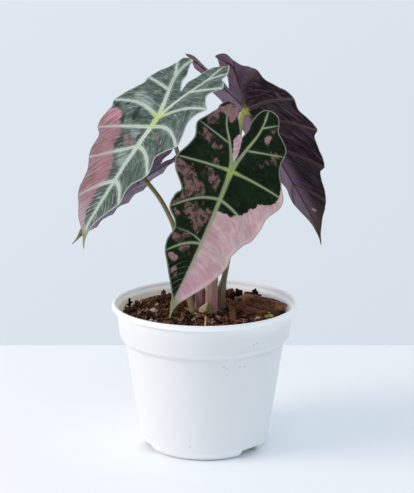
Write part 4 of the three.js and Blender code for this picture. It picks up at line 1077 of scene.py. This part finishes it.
def cut_drains(pot):
    """Bores the drain holes through the raised part of the pot's floor."""
    points, faces, sides = [], [], 28
    for turn in 2 * math.pi * (np.arange(DRAIN_HOLES) + 0.5) / DRAIN_HOLES:
        ids = len(points) + np.arange(2 * sides).reshape(2, sides)
        for height in DRAIN_SPAN:
            for a in directions(sides):
                points.append((DRAIN_CIRCLE * math.cos(turn) + DRAIN_RADIUS * math.cos(a),
                               DRAIN_CIRCLE * math.sin(turn) + DRAIN_RADIUS * math.sin(a), height))
        faces += [ids[1].tolist(), ids[0, ::-1].tolist(), *grid_faces(ids, True).tolist()]
    cutter = make_mesh("drain_cutter", points, faces, [])
    change = pot.modifiers.new("drains", "BOOLEAN")
    change.object, change.operation, change.solver = cutter, "DIFFERENCE", "EXACT"
    bored = pot.evaluated_get(bpy.context.evaluated_depsgraph_get())
    mesh = bpy.data.meshes.new_from_object(bored)
    pot.modifiers.clear()
    pot.data = mesh
    bpy.data.objects.remove(cutter)


def pot_material():
    s = Shade("pot_plastic", roughness=0.38, specular=0.5, subsurface=0.6,
              subsurface_scale=0.006, subsurface_radius=(1.0, 1.0, 1.0))
    place, inside = s.local(), s.attribute("inside")
    cloud = s.noise(place, 14, 3, 0.5)
    worn = s.noise(place, 260, 5, 0.75).step(0.73, 0.78, 0, 0.4)
    # Painted shade, warm like light bounced off the soil, on the inside, most of all low down and on
    # the left, which faces away from the key light
    painted_shade = (inside * s.axis(place, "X").step(0.02, -0.055)
             * s.axis(place, "Z").step(0.0935, 0.0905))
    specks = []
    for speck in POT_SPECKS:
        away = s.node("VectorMath", {0: place, 1: [v * MM for v in speck]}, "Value",
                      operation="DISTANCE")
        specks.append((away.step(0.0006, 0.0002, 0, 0.6), (142, 118, 100)))
    color = s.layers((247, 253, 255), (cloud.step(0.3, 0.7), (243, 250, 255)),
                     # The inside is painted a little whiter: painted light, standing in for light that
                     # comes through the thin wall
                     (worn, (190, 176, 162)), (inside, (252, 253, 254)),
                     # the warm painted shade on the inside
                     (painted_shade, (224, 213, 192)), *specks)
    s.set(color=color, normal=s.bump(s.noise(place, 55, 3, 0.5), 0.04, 0.001),
          roughness=cloud.step(0.3, 0.7, 0.34, 0.44))
    return s.material


def make_pot():
    sides = 360
    turns = directions(sides)
    profile = rounded([*OUTER_WALL, *INNER_WALL], 0.9)
    lip = int(np.argmax(profile[:, 1]))
    points, inside = [(0.0, 0.0, 0.0)], [0.0]
    for i, (radius, height) in enumerate(profile[1:-1], 1):
        inside += [float(i > lip)] * sides
        for (x, y, z), turn in zip(ring(radius, height, turns), turns):
            points.append((x, y, foot_height(radius, turn, z) if z < 5 and i < lip else z))
    points.append((0.0, 0.0, profile[-1][1]))
    inside.append(1.0)
    pot = make_mesh("pot_wall", points, lathe_faces(len(profile) - 2, sides), [pot_material()],
                    {"inside": inside})
    cut_drains(pot)
    add_piece(pot, "pot", "pot")


def soil_height(x, y):
    mound = 2.2 * np.exp(-((x - 1) ** 2 + (y - 4) ** 2) / 420)
    lumps = (0.8 * np.sin(0.31 * x + 1.1) * np.cos(0.27 * y + 0.4)
             + 0.45 * np.sin(0.83 * x - 0.66 * y) + 0.35 * np.cos(0.71 * x + 0.93 * y))
    heaped = 3.0 * np.exp(-((x - 0.6) ** 2 + (y + 10.5) ** 2) / 16)  # before the bud scale
    hollow = 3.2 * np.exp(-((x - 25) ** 2 + (y + 6) ** 2) / 40)  # beside the flat bark
    return SOIL_LEVEL + mound + lumps + heaped - hollow


def crumbs(x, y, phases):
    """Fine roughness of the ground, from a handful of crossed waves."""
    return sum(size * np.sin(fx * x + fy * y + phase)
               for (fx, fy, size), phase in zip(CRUMB_WAVES, phases))


def ground():
    """Points and faces of the soil: its rough top, and its sides just inside the pot."""
    phases = np.random.default_rng(7).uniform(0, ROUND, len(CRUMB_WAVES))
    sides, rings = 300, 96
    turns = directions(sides)
    points = [(0.0, 0.0, float(soil_height(0, 0)))]
    for r in np.linspace(0, SOIL_RADIUS, rings + 1)[1:]:
        x, y = r * np.sin(turns), -r * np.cos(turns)
        fade = np.clip((SOIL_RADIUS - r) / 2, 0, 1)
        points += zip(x, y, soil_height(x, y) + crumbs(x, y, phases) * fade - 0.5)
    for radius, height in SOIL_SIDE:
        points += ring(radius, height, turns)
    points.append((0.0, 0.0, SOIL_SIDE[-1][1]))
    return points, lathe_faces(rings + len(SOIL_SIDE), sides, True)


def keep_inside(points):
    """Moves points that would pass through the pot's wall back inside it."""
    radii, heights = np.transpose(INNER_WALL[::-1])
    limit = np.interp(points[:, 2], heights, radii) - WALL_GAP
    reach = np.hypot(points[:, 0], points[:, 1])
    scale = np.where(reach > limit, limit / np.maximum(reach, 1e-6), 1)
    return points * np.column_stack([scale, scale, np.ones(len(scale))])


def rough_block(rng, centre, size, turn, tilt, roll, cuts, rough):
    """A bark piece: a block with worn corners, a slight bend and a lumpy surface."""
    ids, faces = {}, []
    corners = ((0, 0), (0, 1), (1, 1), (1, 0))
    for a, b, c in ((0, 1, 2), (0, 2, 1), (1, 2, 0)):
        for u, v, end in itertools.product(range(cuts[a]), range(cuts[b]), (0, 1)):
            face = []
            for du, dv in corners if end == (c == 1) else [(q, p) for p, q in corners]:
                place = [0, 0, 0]
                place[a], place[b], place[c] = u + du, v + dv, end * cuts[c]
                face.append(ids.setdefault(tuple(place), len(ids)))
            faces.append(face)
    p = 2 * np.array(list(ids)) / cuts - 1
    p *= 1 - 0.16 * (np.abs(p) ** 4).sum(1, keepdims=True) / 2
    bend = rng.uniform(-0.25, 0.25, 3)
    p[:, 2] += bend[0] * (p[:, 0] ** 2 - 0.4) * 0.8
    p[:, 1] *= 1 + bend[1] * p[:, 0]
    p[:, 2] *= 1 + bend[2] * p[:, 0]
    waves, shifts = rng.uniform(-4, 4, (4, 3)), rng.uniform(0, ROUND, 4)
    for axis in range(3):
        for wave, shift in zip(waves, shifts):
            p[:, axis] += rough * 0.35 * np.sin(p @ wave + shift + axis)
    p += rng.uniform(-rough, rough, p.shape) * (0.25, 0.35, 0.4)
    p *= np.array(size) / 2
    spin = Matrix.Rotation(turn, 3, "Z") @ Matrix.Rotation(tilt, 3, "Y") @ Matrix.Rotation(roll, 3, "X")
    return p @ np.array(spin).T + centre, faces


class Heap:
    """Many small bodies joined in one mesh, each with its own tone."""

    def __init__(self):
        self.points, self.faces, self.tones = [], [], []

    def add(self, points, faces, tone):
        start = len(self.tones)
        self.faces += [[v + start for v in face] for face in faces]
        self.points.append(keep_inside(points))
        self.tones += [tone] * len(points)

    def add_piece(self, name, material, smooth=False):
        thing = make_mesh(name, np.vstack(self.points), self.faces, [material],
                          {"tone": self.tones}, smooth=smooth)
        add_piece(thing, "potting_mix")


def bark_material(name, tones, scale=1.0):
    """Bark from its darkest to its palest tone, grained along and across."""
    s = Shade(name, roughness=0.85, specular=0.08)
    place = s.local()
    grain = s.noise(place, 520 * scale, 4, 0.7)
    coarse = s.noise(place, 160 * scale, 3, 0.6)
    # Dark pits: partly the bark's own dark and partly painted shade of crevices
    pits = s.noise(place, 230 * scale, 4, 0.6, 0, (1, 1.3, 1), 0.4)
    tone = s.attribute("tone") + coarse.swing(0.5)
    steps = [(tone.step(low, low + 0.22), color) for low, color in zip((0.12, 0.5, 0.78), tones[1:])]
    color = s.layers(tones[0], *steps, (grain.step(0.36, 0.62, 0.55, 0), tones[0]),
                     (pits.step(0.47, 0.36, 0, 0.6), tones[0]))
    s.set(color=color, roughness=grain.step(0.3, 0.7, 0.65, 0.95),
          normal=s.bump(grain + coarse * 0.6, 0.7, 0.001))
    return s.material


def scattered(rng, count):
    """Random places on the soil."""
    radius = SCATTER_RADIUS * np.sqrt(rng.uniform(size=count))
    turn = rng.uniform(0, 2 * np.pi, count)
    return radius * np.sin(turn), -radius * np.cos(turn)


def place_on_soil(rng):
    """One random place on the soil, and the soil's height there."""
    x, y = (float(v[0]) for v in scattered(rng, 1))
    return x, y, float(soil_height(x, y))


def scraps(rng, count, size, width, thick, rise, sections, rough):
    """Torn scraps lying on the soil every way round: points, four-sided faces, tones."""
    x, y = scattered(rng, count)
    length = size[0] + (size[1] - size[0]) * rng.uniform(size=count) ** 2.2
    width, thick = (length * rng.uniform(*shares, count) for shares in (width, thick))
    s = np.linspace(-0.5, 0.5, sections)[None, :, None]
    corner = np.array([(1, 1), (-1, 1), (-1, -1), (1, -1)], float)[None, None]
    taper = 1 - rng.uniform(0.1, 0.8, (count, 1, 1)) * np.abs(s) ** 1.5 * 2
    bend = rng.normal(0, 0.5, (count, 2, 1, 1))
    col = (slice(None), None, None)
    u = length[col] * s + 0 * corner[..., 0]
    v = width[col] * 0.5 * corner[..., 0] * taper + bend[:, 0] * length[col] * (s * s - 0.08)
    w = thick[col] * 0.5 * corner[..., 1] * taper + bend[:, 1] * length[col] * 0.5 * (s * s - 0.08)
    p = np.stack([u, v, w], -1)
    p += rng.uniform(-rough, rough, p.shape) * np.minimum(width, length * 0.5)[:, None, None, None]
    angles = (rng.normal(0, 0.8, count), rng.normal(0, 0.4, count), rng.uniform(0, 2 * np.pi, count))
    for angle, (i, j) in zip(angles, ((1, 2), (2, 0), (0, 1))):
        cos, sin = np.cos(angle)[col], np.sin(angle)[col]
        a, b = p[..., i].copy(), p[..., j].copy()
        p[..., i], p[..., j] = a * cos - b * sin, a * sin + b * cos
    level = soil_height(x, y) + rng.uniform(*rise, count)
    p += np.stack([x, y, level], -1)[:, None, None]
    points = keep_inside(p.reshape(-1, 3))
    ids = np.arange(len(points)).reshape(count, sections, 4)
    faces = np.concatenate([grid_faces(ids, True), ids[:, 0, ::-1], ids[:, -1]])
    tones = rng.choice([0.05, 0.35, 0.64, 0.98], count, p=(0.36, 0.38, 0.2, 0.06))
    return points, faces, np.repeat(tones + rng.normal(0, 0.07, count), sections * 4)


def make_soil():
    s = Shade("soil_ground", roughness=0.9, specular=0.15)
    lumps, specks = s.noise(s.local(), 300, 5, 0.65), s.noise(s.local(), 1000, 4, 0.7)
    color = s.layers((14, 9, 8), (lumps.step(0.4, 0.7), (48, 31, 25)),
                     (specks.step(0.6, 0.74, 0, 0.8), (104, 74, 56)))
    s.set(color=color, normal=s.bump(lumps + specks, 1.0, 0.0015))
    add_piece(make_mesh("soil", *ground(), [s.material]), "potting_mix", "potting_mix")


def make_bark(rng):
    bark = bark_material("bark", BARK_TONES)
    chips = Heap()
    for start, end, width, thick, tone in LARGE_CHIPS:
        a, b = np.array(start, float), np.array(end, float)
        d = b - a
        p, f = rough_block(rng, (a + b) / 2, (float(np.linalg.norm(d)) * 1.15, width, thick),
                           math.atan2(d[1], d[0]), -math.atan2(d[2], math.hypot(d[0], d[1])),
                           rng.normal(0, 0.3), (14, 6, 5), 0.22)
        chips.add(p, f, tone)
    for _ in range(CHIP_COUNT):
        x, y, level = place_on_soil(rng)
        length = rng.uniform(4, 9)
        size = (length, length * rng.uniform(0.3, 0.6), length * rng.uniform(0.15, 0.35) + 0.5)
        z = level + size[2] * rng.uniform(0.0, 0.5) - 0.2
        p, f = rough_block(rng, (x, y, z), size, rng.uniform(0, ROUND), rng.normal(0, 0.35),
                           rng.normal(0, 0.5), (6, 4, 3), 0.22)
        chips.add(p, f, float(rng.beta(1.4, 2.2)))
    chips.add_piece("bark_chips", bark)
    for name, shape in SCRAPS.items():
        points, faces, tones = scraps(rng, **shape)
        thing = make_mesh(name, points, faces, [bark], {"tone": tones}, smooth=False)
        add_piece(thing, "potting_mix")


def make_fibres(rng):
    fibres, f = Heap(), np.linspace(-0.5, 0.5, 7)
    for _ in range(FIBRE_COUNT):
        x, y, _ = place_on_soil(rng)
        length, heading = 4 + 12 * rng.uniform() ** 2, rng.uniform(0, ROUND)
        angle = heading + rng.normal(0, 0.5) * f * 2
        x, y = x + length * f * np.cos(angle), y + length * f * np.sin(angle)
        z = (soil_height(x, y) + 0.8 + rng.uniform(0, 1.8) + f * rng.normal(0, 2.5) - 2.0 * f * f)
        radii = rng.uniform(0.14, 0.36) * (1 - 1.2 * f * f)
        fibres.add(*sweep(np.column_stack([x, y, z]), radii, 5), float(rng.beta(1.8, 1.8)))
    fibres.add_piece("coir_fibres", bark_material("coir", BARK_TONES, 1.6), smooth=True)


def make_grit(rng):
    grit = Heap()
    for centre, wide, tone in PALE_LUMPS:
        p, f = rough_block(rng, centre, (wide, wide * 0.8, wide * 0.75), rng.uniform(0, ROUND), 0,
                           rng.uniform(0, 1), (4, 4, 3), 0.25)
        grit.add(p, f, tone)
    for _ in range(GRIT_COUNT):
        x, y, level = place_on_soil(rng)
        size = rng.uniform(0.8, 1.9) * np.array([1, rng.uniform(0.6, 1), rng.uniform(0.5, 0.9)])
        p, f = rough_block(rng, (x, y, level + 1.2), size, rng.uniform(0, ROUND), 0,
                           rng.uniform(0, 1), (3, 3, 2), 0.3)
        grit.add(p, f, float(rng.uniform(0, 0.8)))
    grit.add_piece("perlite", bark_material("perlite_grit", GRIT_TONES))


def make_straw_and_pod():
    """A dry straw standing at the front, and a small green seed pod on the right."""
    points, faces = sweep(np.linspace((-0.2, -46.5, 83), (0.8, -42, 96.4), 9), [0.6] * 9, 8)
    s = Shade("dry_straw", roughness=0.6, specular=0.3)
    streak = s.noise(s.local(), 900, 3, 0.6, 0, (1, 1, 0.1))
    s.set(color=s.layers((176, 138, 94), (streak.step(0.35, 0.65), (222, 188, 142))))
    add_piece(make_mesh("straw", points, faces, [s.material]), "potting_mix")
    f = np.linspace(-1, 1, 17)
    path = np.stack([41.2 + 2.8 * f, -13.2 + 0.6 * f, 88.2 + 0 * f], 1)
    points, faces = sweep(path, 1.5 * np.sqrt(1.02 - f ** 2) * (1 + 0.12 * f), 24)
    s = Shade("green_pod_skin", roughness=0.6, specular=0.3)
    shell = s.noise(s.local(), 260, 3, 0.6)
    s.set(color=s.layers((122, 128, 52), (shell.step(0.4, 0.62), (196, 190, 112))),
          normal=s.bump(shell, 0.4, 0.0006))
    add_piece(make_mesh("green_pod", points, faces, [s.material]), "potting_mix")


def finish_rhizome():
    s = Shade("rhizome_bark", roughness=0.85, specular=0.2)
    rings = s.noise(s.local(), 300, 4, 0.6, 0, (1, 1, 3))
    s.set(color=s.layers((70, 50, 36), (rings, (132, 104, 76))), normal=s.bump(rings, 0.6, 0.001))
    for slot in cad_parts["rhizome"].material_slots:
        slot.material = s.material


def make_stage():
    s = Shade("table_top", roughness=0.55, specular=0.3)
    cloud = s.noise(s.local(), 3, 2, 0.5)
    s.set(color=s.layers((237, 240, 242), (cloud, (241, 244, 246))))
    (left, right), (front, back) = TABLE_SPAN
    corners = [(left, front, 0), (right, front, 0), (right, back, 0), (left, back, 0)]
    table = make_mesh("table_floor", corners, [(0, 1, 2, 3)], [s.material])


def make_room():
    """Even light all round, a little dimmer from the viewer's side and from low on the right."""
    world = bpy.data.worlds.new("studio")
    world.use_nodes = True
    graph = Graph(world.node_tree)
    direction = graph.node("TexCoord", out="Generated")
    x, y, z = (graph.axis(direction, name) for name in "XYZ")
    bright = y.step(-0.95, 0.1, 0.95, 1.0)
    dim = graph.math("MULTIPLY_ADD", x, 0.8, z * -1.0).step(-0.05, 0.4, 1.0, 0.93, "LINEAR")
    overhead = z.step(0.1, 0.6, 1.0, 1.06, "LINEAR")
    background = graph.tree.nodes["Background"].inputs
    graph.put((223, 232, 241), background["Color"])
    graph.put(bright * dim * overhead, background["Strength"])
    bpy.context.scene.world = world


def make_key_light():
    light = bpy.data.lights.new("key", "AREA")
    light.shape, light.size = "DISK", KEY_SIZE
    light.energy, light.color = KEY_POWER, KEY_COLOR
    thing = add_object("key", light)
    thing.location = [v * MM for v in KEY_PLACE]
    aim = Vector(KEY_TARGET) - Vector(KEY_PLACE)
    thing.rotation_euler = aim.to_track_quat("-Z", "Y").to_euler()


def make_camera():
    camera = bpy.data.cameras.new("photo_camera")
    camera.lens, camera.sensor_width, camera.clip_start = CAMERA_LENS, 36, 0.05
    thing = add_object("photo_camera", camera)
    thing.location = [v * MM for v in CAMERA_PLACE]
    thing.rotation_euler = (math.radians(90 - CAMERA_PITCH), 0, 0)
    bpy.context.scene.camera = thing


make_camera()
make_stage()
make_room()
make_key_light()
bpy.context.scene.view_settings.view_transform = "Standard"

make_pot()
make_soil()
chance = np.random.default_rng(11)
make_bark(chance)
make_fibres(chance)
make_grit(chance)
make_straw_and_pod()
finish_rhizome()
make_bud_scale()
make_stalks()
make_blades()
